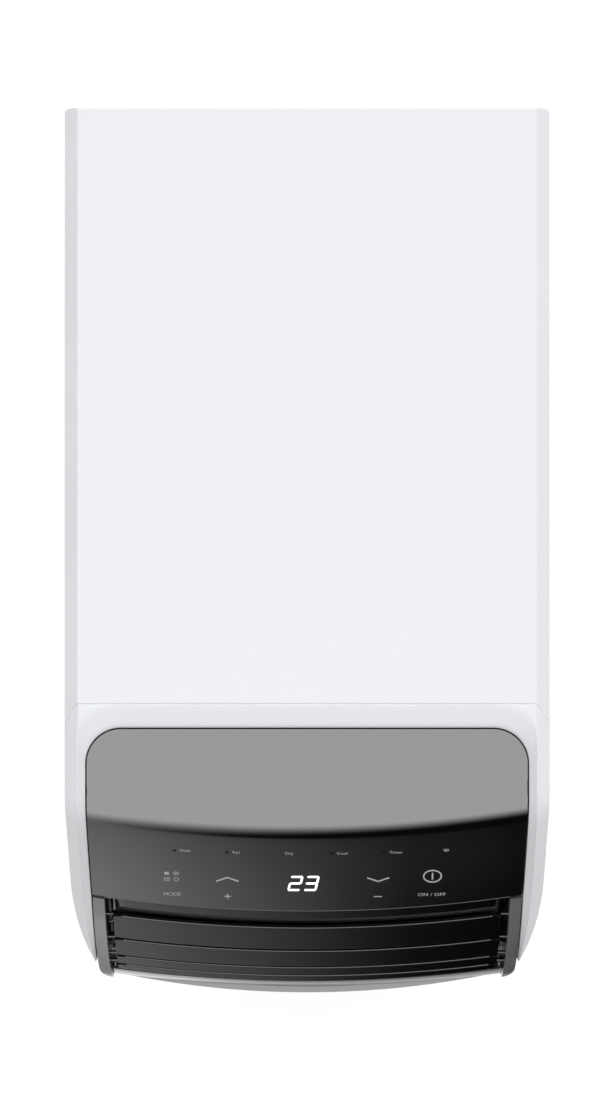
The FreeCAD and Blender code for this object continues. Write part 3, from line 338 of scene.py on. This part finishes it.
def strip_points(station):
    """The sloped strip beyond the ridge, cut short by the diagonal seam near the rear, and the outer wall."""
    (px, py), (nx, ny), width, share = station
    ridge_x = px + nx * width
    y = py + ny * width
    full = STRIP_W * share
    strip_w = 0.0
    if ridge_x > STRIP_X * 0.999 or ny == 0.0:
        strip_w = full
        if y > SEAM_SIDE_Y:
            strip_w = STRIP_W * max((SEAM_Y - y) / (SEAM_Y - SEAM_SIDE_Y), 0.0)
    fall = STRIP_DROP / STRIP_W
    points = []
    for f in STRIP_STEPS:
        x = ridge_x + strip_w * f
        lift = BODY_LIFT - STRIP_SINK - fall * strip_w * f
        edge_drop = 0.0 if strip_w > 0.5 else f
        points.append((x, y, nose_z(rho(x, y), lift) - edge_drop))
    x = ridge_x + strip_w
    end_z = nose_z(rho(x, y), BODY_LIFT - fall * strip_w)
    bottom = end_z - OUTER_WALL_H
    if strip_w >= full * 0.999:
        bottom = min(end_z - OUTER_WALL_LEAST, SEAM_SIDE_Z - (SEAM_SIDE_Y - y) * SEAM_FALL)
    top = end_z - OUTER_WALL_TOP
    points += [(x, y, top - (top - bottom) * f) for f in OUTER_WALL_STEPS]
    points.append((x - OUTER_FLANGE * max(nx, 0.001), y - OUTER_FLANGE * ny, bottom))
    return points


def make_nose_frame():
    right = [facet_points(s) + strip_points(s) for s in frame_stations()]
    left = [[(-x, y, z) for x, y, z in section] for section in reversed(right[:-1])]
    sections = right + left
    points = [p for section in sections for p in section]
    faces = strip_faces(len(sections), len(sections[0]))
    nose = make_object("nose_frame", points, faces, MATERIALS["white_casing"])
    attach(nose, "casing")
    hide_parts("front_bezel")


# Painted shade in the seam gap: a dark strip set low between the top cover and the nose.
SEAM_SHADE_SIDES = (SEAM_Y + 0.02, SEAM_Y + 0.56)
SEAM_SHADE_TOP_Z = TOP_Z - 1.1
SEAM_SHADE_BOTTOM_Z = TOP_Z - 2.4
SEAM_SHADE_STEPS = 20


def make_seam_painted_shade():
    """Painted shade: a dark rubber-coloured strip low in the seam between the top cover and the nose, standing
    in for the shade inside the gap.
    """
    y0, y1 = SEAM_SHADE_SIDES
    corners = ((y0, SEAM_SHADE_TOP_Z), (y1, SEAM_SHADE_TOP_Z), (y1, SEAM_SHADE_BOTTOM_Z), (y0, SEAM_SHADE_BOTTOM_Z))
    points = []
    for i in range(SEAM_SHADE_STEPS + 1):
        x = -STRIP_X + 2 * STRIP_X * i / SEAM_SHADE_STEPS
        points += [(x, y, z) for y, z in corners]
    faces = strip_faces(SEAM_SHADE_STEPS + 1, 4, True)
    faces += [(0, 1, 2, 3), tuple(range(len(points) - 4, len(points)))]
    seam_shade_strip = make_object("seam_painted_shade", points, faces, MATERIALS["rubber"], smooth=False)
    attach(seam_shade_strip, "casing")


# ---------------------------------------------------------------- control glass
BEND_TURN = math.radians(42.6)       # slope where the bend ends
EDGE_TURN = math.radians(45.4)       # slope at the front edge, so the slope is slightly crowned
BEND_STEPS = 24
CROWN_STEPS = 14
CORNER_COLUMNS = 16
HALF_COLUMNS = 14
FLAT_STEPS = 8
GLASS_TOP_Z = BEND_Z + BEND_R
GLASS_BEVEL = {"width": 0.5 * MM, "segments": 3, "limit_method": "ANGLE", "angle_limit": math.radians(50),
               "harden_normals": True}


def glass_profile():
    """(rho, z) along the glass from the start of the bend to the front edge."""
    end_rho = BEND_RHO + BEND_R * math.sin(SLOPE)
    bend_r = (end_rho - BEND_RHO) / math.sin(BEND_TURN)
    points = []
    for i in range(1, BEND_STEPS + 1):
        a = BEND_TURN * i / BEND_STEPS
        points.append((BEND_RHO + bend_r * math.sin(a), GLASS_TOP_Z - bend_r * (1 - math.cos(a))))
    end_z = points[-1][1]
    crown_r = (GLASS_FRONT_RHO - end_rho) / (math.sin(EDGE_TURN) - math.sin(BEND_TURN))
    for i in range(1, CROWN_STEPS + 1):
        a = BEND_TURN + (EDGE_TURN - BEND_TURN) * i / CROWN_STEPS
        z = end_z - crown_r * (math.cos(BEND_TURN) - math.cos(a))
        points.append((end_rho + crown_r * (math.sin(a) - math.sin(BEND_TURN)), z))
    return points


def glass_z(x, y):
    distance = rho(x, y)
    if distance <= BEND_RHO:
        return GLASS_TOP_Z
    previous = (BEND_RHO, GLASS_TOP_Z)
    for point in GLASS_PROFILE:
        if distance <= point[0]:
            t = (distance - previous[0]) / (point[0] - previous[0])
            return previous[1] + t * (point[1] - previous[1])
        previous = point
    return previous[1]


GLASS_PROFILE = glass_profile()


def glass_columns():
    inner = GLASS_HALF_W - GLASS_CORNER_R
    turns = [math.radians(90 * i / CORNER_COLUMNS) for i in range(CORNER_COLUMNS, 0, -1)]
    xs = [GLASS_HALF_W - GLASS_CORNER_R * (1 - math.sin(turn)) for turn in turns]
    xs += [inner - inner * i / HALF_COLUMNS for i in range(HALF_COLUMNS + 1)]
    return [-x for x in xs] + list(reversed(xs[:-1]))


def make_glass():
    r = GLASS_CORNER_R
    sections = []
    for x in glass_columns():
        over = max(abs(x) - (GLASS_HALF_W - r), 0.0)
        rear = GLASS_REAR_Y - (r - math.sqrt(max(r * r - over * over, 0.0)))
        start = y_at(BEND_RHO, x)
        section = [(x, rear + (start - rear) * i / FLAT_STEPS, GLASS_TOP_Z) for i in range(FLAT_STEPS + 1)]
        section += [(x, y_at(distance, x), z) for distance, z in GLASS_PROFILE]
        sections.append(section)
    points = [p for section in sections for p in section]
    faces = strip_faces(len(sections), len(sections[0]))
    glass = make_object("glass_cover", points, faces, MATERIALS["control_glass"])
    if sum(p.normal.z for p in glass.data.polygons) < 0:
        glass.data.flip_normals()
    solid = {"thickness": GLASS_T * MM, "offset": -1.0, "use_even_offset": True}
    apply_modifiers(glass, [("SOLIDIFY", solid), ("BEVEL", GLASS_BEVEL)])
    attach(glass, "casing")
    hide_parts("control_glass")


def apply_modifiers(obj, wanted):
    for kind, settings in wanted:
        modifier = obj.modifiers.new(kind.lower(), kind)
        for key, value in settings.items():
            setattr(modifier, key, value)
    bpy.context.view_layer.update()
    evaluated = obj.evaluated_get(bpy.context.evaluated_depsgraph_get())
    mesh = bpy.data.meshes.new_from_object(evaluated)
    obj.modifiers.clear()
    obj.data = mesh


# ---------------------------------------------------------------- bowed trims round the outlet
SLAT_HALF_LEN = 142.5
SLAT_EDGES = [43.2, 52.2, 60.5, 66.0]    # slopes of the slat tops, degrees
EDGE_BEAD_R = 1.1
EDGE_BEAD_AT = 189.55        # radius on the louvre arc
EDGE_BEAD_BELOW = 0.3        # degrees below the slat's top
END_GAP = 0.02
RAIL_HALF = 140.6
RAIL_SECTION = [(1047.3, 631.5), (1047.6, 631.45), (1052.0, 626.7), (1056.7, 621.8), (1057.0, 621.3),
                (1056.9, 620.9), (1056.4, 620.9), (1051.5, 625.7), (1046.6, 630.6)]
LIP_SECTION = [(190.0, 39.5), (181.2, 39.5), (181.2, 42.0), (181.2, 45.2),
               (179.8, 45.2), (179.8, 42.0), (179.8, 39.0), (190.4, 39.0)]   # radius and slope on the arc
GLASS_TRIM_R = 0.7
GLASS_TRIM_AT = (0.15, -0.75)            # from the top of the glass's front edge
GLASS_TRIM_HALF = GLASS_HALF_W - 2.0
TUBE_STEPS = 40
BEAD_STEPS = 20


def on_louvre(radius, slope):
    """(rho, z) on the louvre arc at a slope in degrees."""
    a = math.radians(90 - slope)
    return ARC_RHO + radius * math.cos(a), ARC_Z + radius * math.sin(a)


def bowed_tube(name, section, half, body, finish=None):
    """Closed (rho, z) section carried round the bow between -half and half, with end caps."""
    columns = len(section)
    points = []
    for i in range(TUBE_STEPS + 1):
        x = -half + 2 * half * i / TUBE_STEPS
        points += [(x, y_at(distance, x), z) for distance, z in section]
    faces = strip_faces(TUBE_STEPS + 1, columns, True)
    faces.append(tuple(range(columns)))
    faces.append(tuple(range(TUBE_STEPS * columns, (TUBE_STEPS + 1) * columns)))
    tube = make_object(name, points, faces, MATERIALS[finish or "slat_black"])
    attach(tube, body)
    return tube


def bead_section(centre, radius):
    turns = [2 * math.pi * i / BEAD_STEPS for i in range(BEAD_STEPS)]
    return [(centre[0] + radius * math.cos(a), centre[1] + radius * math.sin(a)) for a in turns]


def make_outlet_trims():
    for i, edge in enumerate(SLAT_EDGES):
        bead = bead_section(on_louvre(EDGE_BEAD_AT, edge + EDGE_BEAD_BELOW), EDGE_BEAD_R)
        bowed_tube("slat_edge_%d" % (i + 1), bead, SLAT_HALF_LEN - END_GAP, "slat_%d" % (i + 1))
    rail = bowed_tube("top_rail_cover", RAIL_SECTION, RAIL_HALF, "casing")
    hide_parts("outlet_top_rail")
    # The lip under the rail is matt grey, lighter than the black rail it belongs to: a painted reflection that
    # stands in for the rail's reflected tone across the gap.
    lip = [on_louvre(radius, slope) for radius, slope in LIP_SECTION]
    bowed_tube("top_rail_lip", lip, RAIL_HALF, "casing", "lip_painted_reflection_grey")
    front_rho, front_z = GLASS_PROFILE[-1]
    trim = bead_section((front_rho + GLASS_TRIM_AT[0], front_z + GLASS_TRIM_AT[1]), GLASS_TRIM_R)
    bowed_tube("glass_trim", trim, GLASS_TRIM_HALF, "casing")


# ---------------------------------------------------------------- printed legends and display
LEGEND_LIFT = 0.06
ROW_LED_Y = -203.3
ROW_ICON_Y = -223.7
ROW_LABEL_Y = -238.2
ROW_BOW = 2.0                # how far the rows bend back at ROW_BOW_AT from the centre
ROW_BOW_AT = 95.0
MODE_X = -98.0
UP_X = -57.6
DOWN_X = 51.2
POWER_X = 90.4
CHEVRON_HALF_W = 8.0
CHEVRON_TOP = 0.6            # the chevron's upper and lower points, from the row
CHEVRON_BOTTOM = -2.3
CAP_H = 2.5
LED_CAP_H = 2.0
LED_HALF = (1.2, 0.85)
LED_TEXT_GAP = 3.8
LED_LABELS = [(-95.0, "Heat"), (-57.2, "Fan"), (-19.8, "Dry"), (17.3, "Cool"), (54.9, "Timer"), (92.1, None)]
UNLIT_LABEL = "Dry"          # this one has no window of its own
DIGITS = [("2", -8.5), ("3", 3.2)]
DIGIT_SIZE = (9.4, 12.1)
DIGIT_STROKE = 1.6
DIGIT_SLANT = 0.22
DIGIT_BELOW_ROW = 3.25
FONT_CAP = 0.69              # height of a capital in a letter of size 1
SEGMENT_SETS = {"2": "abged", "3": "abgcd"}


def on_glass(points):
    return [(x, y, glass_z(x, y) + LEGEND_LIFT) for x, y in points]


def stroke(points, width, closed=False):
    """Flat ribbon along a plan polyline: (points, faces)."""
    count = len(points)
    ring = []
    for i, (x, y) in enumerate(points):
        before = points[i - 1] if (i or closed) else points[i]
        after = points[(i + 1) % count] if (i < count - 1 or closed) else points[i]
        dx = after[0] - before[0]
        dy = after[1] - before[1]
        length = math.hypot(dx, dy)
        nx = -dy / length * width / 2
        ny = dx / length * width / 2
        ring += [(x + nx, y + ny), (x - nx, y - ny)]
    faces = [(2 * i, 2 * i + 1, 2 * i + 3, 2 * i + 2) for i in range(count - 1)]
    if closed:
        faces.append((2 * count - 2, 2 * count - 1, 1, 0))
    return ring, faces


def circle(x, y, radius, stretch=1.0, start=0, end=360, steps=32):
    """Points round an ellipse; an open arc keeps both of its ends."""
    last = steps if end - start == 360 else steps + 1
    turns = [math.radians(start + (end - start) * i / steps) for i in range(last)]
    return [(x + radius * math.cos(a), y + radius * stretch * math.sin(a)) for a in turns]


def polygon(points):
    return list(points), [tuple(range(len(points)))]


def text_shape(text, x, y, cap, align="CENTER", stretch=1.0):
    """Flat letters with a given cap height in plan, as (points, faces)."""
    curve = bpy.data.curves.new("text", "FONT")
    curve.body = text
    curve.size = 1.0
    curve.align_x = align
    curve.align_y = "CENTER"
    curve.resolution_u = 3
    holder = bpy.data.objects.new("text", curve)
    bpy.context.scene.collection.objects.link(holder)
    bpy.context.view_layer.update()
    depsgraph = bpy.context.evaluated_depsgraph_get()
    mesh = bpy.data.meshes.new_from_object(holder.evaluated_get(depsgraph))
    scale = cap / FONT_CAP
    points = [(x + v.co.x * scale * stretch, y + v.co.y * scale) for v in mesh.vertices]
    faces = [tuple(p.vertices) for p in mesh.polygons]
    bpy.data.objects.remove(holder)
    bpy.data.curves.remove(curve)
    bpy.data.meshes.remove(mesh)
    return points, faces


def legend_object(name, shapes, material):
    points = []
    faces = []
    for ring, ring_faces in shapes:
        start = len(points)
        points += on_glass(ring)
        faces += [tuple(i + start for i in face) for face in ring_faces]
    legend = make_object(name, points, faces, material, smooth=False)
    for polygon_face in legend.data.polygons:
        if polygon_face.normal.z < 0:
            polygon_face.flip()
    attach(legend, "casing")


def digit(character, x, y):
    """Seven-segment figure built from separate slanted bars with pointed ends."""
    half = DIGIT_STROKE / 2
    w = DIGIT_SIZE[0] / 2 - half
    h = DIGIT_SIZE[1] / 2 - half
    ends = {
        "a": ((-w, h), (w, h)),
        "b": ((w, h), (w, 0)),
        "c": ((w, 0), (w, -h)),
        "d": ((-w, -h), (w, -h)),
        "e": ((-w, 0), (-w, -h)),
        "f": ((-w, h), (-w, 0)),
        "g": ((-w, 0), (w, 0)),
    }
    shapes = []
    for name in SEGMENT_SETS[character]:
        (x0, y0), (x1, y1) = ends[name]
        if name in "adg":
            a = x0 - half * 0.6
            b = x1 + half * 0.6
            ring = [(a, y0), (a + half, y0 + half), (b - half, y0 + half),
                    (b, y0), (b - half, y0 - half), (a + half, y0 - half)]
        else:
            a = y0 + half * 0.3
            b = y1 - half * 0.3
            ring = [(x0, a), (x0 + half, a - half), (x0 + half, b + half),
                    (x0, b), (x0 - half, b + half), (x0 - half, a - half)]
        shapes.append(polygon([(x + px + DIGIT_SLANT * py, y + py) for px, py in ring]))
    return shapes


def fan_sign(x, y):
    turns = [math.radians(45 + 90 * k) for k in range(4)]
    return [polygon(circle(x + 1.15 * math.cos(a), y + 0.8 * math.sin(a), 0.95, 0.7, steps=12)) for a in turns]


def sun_sign(x, y):
    shapes = [stroke(circle(x, y, 1.0, 0.7, steps=16), 0.45, True)]
    for k in range(8):
        a = math.radians(45 * k)
        inner, outer = [(x + reach * math.cos(a), y + reach * 0.7 * math.sin(a)) for reach in (1.5, 2.5)]
        shapes.append(stroke([inner, outer], 0.4))
    return shapes


def wave_sign(x, y):
    shapes = []
    for row in (-1.1, 0.0, 1.1):
        wave = [(x - 2.3 + 0.46 * i, y + row + 0.35 * math.sin(1.6 * i)) for i in range(11)]
        shapes.append(stroke(wave, 0.4))
    return shapes


def drop_sign(x, y):
    ring = [(x, y + 1.8)] + circle(x, y - 0.4, 1.7, 0.72, -215, 35, 16)[::-1]
    return [stroke(ring, 0.42, True)]


def mode_icons(x, y):
    """Four small signs: fan, sun, waves and drop."""
    step = 3.4
    rise = 2.3
    return (fan_sign(x - step, y + rise) + sun_sign(x + step, y + rise)
            + wave_sign(x - step, y - rise) + drop_sign(x + step, y - rise))


def row_y(centre_y, x):
    return centre_y + ROW_BOW * (x / ROW_BOW_AT) ** 2


def chevron(x, tip, ends):
    y = row_y(ROW_ICON_Y, x)
    return stroke([(x - CHEVRON_HALF_W, y + ends), (x, y + tip), (x + CHEVRON_HALF_W, y + ends)], 1.15)


def key_marks():
    """Mode signs, up and down chevrons with plus and minus, and the power ring."""
    power_y = row_y(ROW_ICON_Y, POWER_X)
    plus_y = row_y(ROW_LABEL_Y, UP_X)
    minus_y = row_y(ROW_LABEL_Y, DOWN_X)
    marks = mode_icons(MODE_X, row_y(ROW_ICON_Y, MODE_X))
    marks.append(chevron(UP_X, CHEVRON_TOP, CHEVRON_BOTTOM))
    marks.append(chevron(DOWN_X, CHEVRON_BOTTOM, CHEVRON_TOP))
    marks.append(stroke(circle(POWER_X, power_y + 0.3, 6.4, 0.72, steps=48), 1.1, True))
    marks.append(stroke([(POWER_X, power_y + 3.0), (POWER_X, power_y - 2.4)], 1.2))
    marks.append(text_shape("MODE", MODE_X, row_y(ROW_LABEL_Y, MODE_X), CAP_H, stretch=1.25))
    marks.append(text_shape("ON / OFF", POWER_X, row_y(ROW_LABEL_Y, POWER_X), CAP_H, stretch=1.35))
    marks.append(stroke([(UP_X - 2.4, plus_y), (UP_X + 2.4, plus_y)], 0.75))
    marks.append(stroke([(UP_X, plus_y + 1.9), (UP_X, plus_y - 1.9)], 0.75))
    marks.append(stroke([(DOWN_X - 3.0, minus_y), (DOWN_X + 3.0, minus_y)], 0.8))
    return marks


def signal_arcs(x, y):
    return [stroke(circle(x, y, radius, 0.85, 40, 140, 10), 0.4) for radius in (1.0, 2.0, 3.0)]


def make_legends():
    prints = key_marks()
    windows = []
    half_w, half_h = LED_HALF
    for x, label in LED_LABELS:
        y = row_y(ROW_LED_Y, x)
        if label != UNLIT_LABEL:
            windows.append(polygon([(x - half_w, y - half_h), (x + half_w, y - half_h),
                                    (x + half_w, y + half_h), (x - half_w, y + half_h)]))
        if label:
            prints.append(text_shape(label, x + LED_TEXT_GAP, y, LED_CAP_H, "LEFT", 1.35))
        else:
            prints += signal_arcs(x + 7.4, y - 1.4)
    digits = [bar for character, x in DIGITS for bar in digit(character, x, ROW_ICON_Y - DIGIT_BELOW_ROW)]
    legend_object("control_legends", prints, MATERIALS["legend_print"])
    legend_object("led_windows", windows, MATERIALS["led_window"])
    legend_object("display_digits", digits, MATERIALS["display_glow"])


# ---------------------------------------------------------------- studio
class Graph:
    """Short calls for building a node graph of numbers."""

    def __init__(self, tree):
        self.nodes = tree.nodes
        self.links = tree.links

    def math(self, operation, *values):
        node = self.nodes.new("ShaderNodeMath")
        node.operation = operation
        for i, value in enumerate(values):
            if isinstance(value, (int, float)):
                node.inputs[i].default_value = value
            else:
                self.links.new(value, node.inputs[i])
        return node.outputs[0]

    def ramp(self, source, low, high, at_low=0.0, at_high=1.0):
        remap = self.nodes.new("ShaderNodeMapRange")
        remap.interpolation_type = "SMOOTHSTEP"
        remap.inputs["From Min"].default_value = low
        remap.inputs["From Max"].default_value = high
        remap.inputs["To Min"].default_value = at_low
        remap.inputs["To Max"].default_value = at_high
        self.links.new(source, remap.inputs["Value"])
        return remap.outputs["Result"]

    def curve(self, source, low, high, stops):
        """Piecewise curve of a number: stops are (place, value) with values up to 1."""
        share = self.math("DIVIDE", self.math("SUBTRACT", source, low), high - low)
        node = self.nodes.new("ShaderNodeValToRGB")
        elements = node.color_ramp.elements
        while len(elements) < len(stops):
            elements.new(0.5)
        for element, (place, value) in zip(elements, stops):
            element.position = (place - low) / (high - low)
            element.color = (value, value, value, 1)
        self.links.new(share, node.inputs["Fac"])
        return self.math("MULTIPLY", node.outputs["Color"], 1.0)

    def product(self, *values):
        total = values[0]
        for value in values[1:]:
            total = self.math("MULTIPLY", total, value)
        return total

    def total(self, *values):
        total = values[0]
        for value in values[1:]:
            total = self.math("ADD", total, value)
        return total


# Directions: dx to the right, dy to the rear, dz up; forward is -dy. Pairs are where a change starts and ends.
CEILING = 3.35
CEILING_END = (0.55, 0.955)      # forward
CEILING_LEAN = (0.575, -0.125)   # pull of dx and of its size on where the ceiling ends
CEILING_REAR = (-0.30, -0.18)    # forward
CEILING_SIDES = (0.20, 0.30)     # size of dx
CEILING_FOOT = (0.0, 0.1)        # dz
FRONT_WALL = 1.5
WALL_START = (0.05, 0.35)        # forward
WALL_TOP = (-0.16, 0.20)         # dz
WALL_SPAN = 0.25                 # bearing at its two ends
WALL_STOPS = [(-0.25, 1.0), (-0.19, 0.93), (-0.11, 0.60), (-0.03, 0.34),
              (0.04, 0.18), (0.10, 0.08), (0.16, 0.055), (0.22, 0.01)]
WALL_DIM_DOWN = 0.9              # how fast the wall dims towards the floor
WALL_LEAST = 0.1
LOW_RIGHT_LOSS = 0.75            # how much the low wall dims at its right end
LOW_RIGHT_BEARING = (-0.05, 0.18)
LOW_RIGHT_DEPTH = (-0.14, -0.02)     # dz
FLOOR_GLOW = 1.15
FLOOR_GLOW_DEPTH = (-0.92, -0.84)    # dz
FLOOR_GLOW_STOPS = [(-0.15, 1), (0.15, 0.45)]
SIDE_FILL = 0.3
SIDE_FILL_START = (0.25, 0.4)    # size of dx
SOFT_BASE = 0.56
SOFT_TOP = 0.82
SOFT_REAR = 0.80
SOFT_SIDE_LOSS = 0.50
SOFT_RIGHT = 0.01
SOFT_FRONT_BIAS = 0.3
SOFT_FRONT_RIGHT = 1.3
SOFT_LEAST = 0.05
BACKDROP = 0.93
LIGHT_COLOR = (0.985, 0.99, 1.0, 1)


def reflected_studio(g, dx, dy, dz):
    """What shiny surfaces mirror: a ceiling light, a dark gap, then a wall in front that dims to the right."""
    forward = g.math("MULTIPLY", dy, -1.0)
    side = g.math("ABSOLUTE", dx)
    lean = g.total(forward, g.math("MULTIPLY", dx, CEILING_LEAN[0]), g.math("MULTIPLY", side, CEILING_LEAN[1]))
    ceiling = g.product(
        g.ramp(lean, *CEILING_END, 1, 0),
        g.ramp(forward, *CEILING_REAR),
        g.ramp(side, *CEILING_SIDES, 1, 0),
        g.ramp(dz, *CEILING_FOOT),
        CEILING,
    )
    flat_part = g.math("MULTIPLY_ADD", dz, g.math("MULTIPLY", dz, -1.0), 1.0)
    bearing = g.math("DIVIDE", dx, g.math("SQRT", g.math("MAXIMUM", flat_part, 0.0001)))
    front = g.ramp(forward, *WALL_START)
    low = g.ramp(dz, *LOW_RIGHT_DEPTH, 1, 0)
    low_right = g.product(g.ramp(bearing, *LOW_RIGHT_BEARING), low, -LOW_RIGHT_LOSS)
    below = g.math("MULTIPLY_ADD", g.math("MINIMUM", dz, 0.0), WALL_DIM_DOWN, 1.0)
    wall = g.product(
        g.curve(bearing, -WALL_SPAN, WALL_SPAN, WALL_STOPS),
        g.ramp(dz, *WALL_TOP, 1, 0),
        g.math("MAXIMUM", below, WALL_LEAST),
        g.math("ADD", low_right, 1.0),
        front,
        FRONT_WALL,
    )
    across = g.curve(dx, FLOOR_GLOW_STOPS[0][0], FLOOR_GLOW_STOPS[-1][0], FLOOR_GLOW_STOPS)
    underfoot = g.product(g.ramp(dz, *FLOOR_GLOW_DEPTH, 1, 0), across, FLOOR_GLOW)
    sides = g.product(g.math("SUBTRACT", 1.0, front), g.ramp(side, *SIDE_FILL_START), SIDE_FILL)
    return g.total(ceiling, wall, underfoot, sides)


def soft_studio(g, dx, dy, dz):
    """What lights matt surfaces: soft light, strongest from above, the rear and the front right."""
    above = g.math("MULTIPLY", g.math("MAXIMUM", dz, 0.0), SOFT_TOP)
    rear = g.math("MULTIPLY", dy, SOFT_REAR)
    sides = g.product(dx, dx, -SOFT_SIDE_LOSS)
    front = g.math("MAXIMUM", g.math("MULTIPLY", dy, -1.0), 0.0)
    bias = g.math("MULTIPLY", dx, g.math("MULTIPLY_ADD", front, SOFT_FRONT_BIAS, SOFT_RIGHT))
    front_right = g.product(g.math("MAXIMUM", dx, 0.0), front, SOFT_FRONT_RIGHT)
    return g.math("MAXIMUM", g.total(above, rear, sides, bias, front_right, SOFT_BASE), SOFT_LEAST)


def make_world():
    """Soft light for matt surfaces, the reflected studio for shiny ones and a plain backdrop behind."""
    world = bpy.data.worlds.new("studio")
    bpy.context.scene.world = world
    world.use_nodes = True
    tree = world.node_tree
    tree.nodes.clear()
    g = Graph(tree)
    coords = tree.nodes.new("ShaderNodeTexCoord")
    split = tree.nodes.new("ShaderNodeSeparateXYZ")
    tree.links.new(coords.outputs["Generated"], split.inputs[0])
    direction = split.outputs
    lights = []
    for strength in (soft_studio(g, *direction), reflected_studio(g, *direction), BACKDROP):
        light = tree.nodes.new("ShaderNodeBackground")
        light.inputs["Color"].default_value = LIGHT_COLOR
        if isinstance(strength, float):
            light.inputs["Strength"].default_value = strength
        else:
            tree.links.new(strength, light.inputs["Strength"])
        lights.append(light.outputs[0])
    path = tree.nodes.new("ShaderNodeLightPath")
    shown = lights[0]
    for ray, light in zip(("Is Glossy Ray", "Is Camera Ray"), lights[1:]):
        mix = tree.nodes.new("ShaderNodeMixShader")
        tree.links.new(path.outputs[ray], mix.inputs["Fac"])
        tree.links.new(shown, mix.inputs[1])
        tree.links.new(light, mix.inputs[2])
        shown = mix.outputs[0]
    output = tree.nodes.new("ShaderNodeOutputWorld")
    tree.links.new(shown, output.inputs["Surface"])


FLOOR_HALF = 12.0
FLOOR_BASE = 0.5
FLOOR_ROUGHNESS = 0.9
FLOOR_SHINE = 0.60


def make_floor():
    mesh = bpy.data.meshes.new("floor")
    corners = [(-1, -1), (1, -1), (1, 1), (-1, 1)]
    mesh.from_pydata([(x * FLOOR_HALF, y * FLOOR_HALF, 0) for x, y in corners], [], [(0, 1, 2, 3)])
    floor = bpy.data.objects.new("floor", mesh)
    bpy.context.scene.collection.objects.link(floor)
    material, _, _, shader = new_material("floor")
    shader.inputs["Base Color"].default_value = (FLOOR_BASE, FLOOR_BASE, FLOOR_BASE, 1)
    shader.inputs["Roughness"].default_value = FLOOR_ROUGHNESS
    shader.inputs["Emission Color"].default_value = (1, 1, 1, 1)
    shader.inputs["Emission Strength"].default_value = FLOOR_SHINE
    mesh.materials.append(material)
    floor.visible_glossy = False


CAMERA_X = 0.0006            # metres
CAMERA_Y = 0.0137
CAMERA_ABOVE_TOP = 2.3
SEEN_HEIGHT = 0.7788         # height of the view at the plane of the top


def make_camera():
    data = bpy.data.cameras.new("camera")
    camera = bpy.data.objects.new("camera", data)
    bpy.context.scene.collection.objects.link(camera)
    data.sensor_fit = "VERTICAL"
    data.sensor_height = 36.0
    data.lens = data.sensor_height * CAMERA_ABOVE_TOP / SEEN_HEIGHT
    camera.location = (CAMERA_X, CAMERA_Y, cad_box[1][2] + CAMERA_ABOVE_TOP)
    bpy.context.scene.camera = camera
    bpy.context.scene.view_settings.view_transform = "Standard"


dress_cad_nodes()
make_nose_frame()
make_glass()
make_outlet_trims()
make_seam_painted_shade()
make_legends()
make_world()
make_floor()
make_camera()
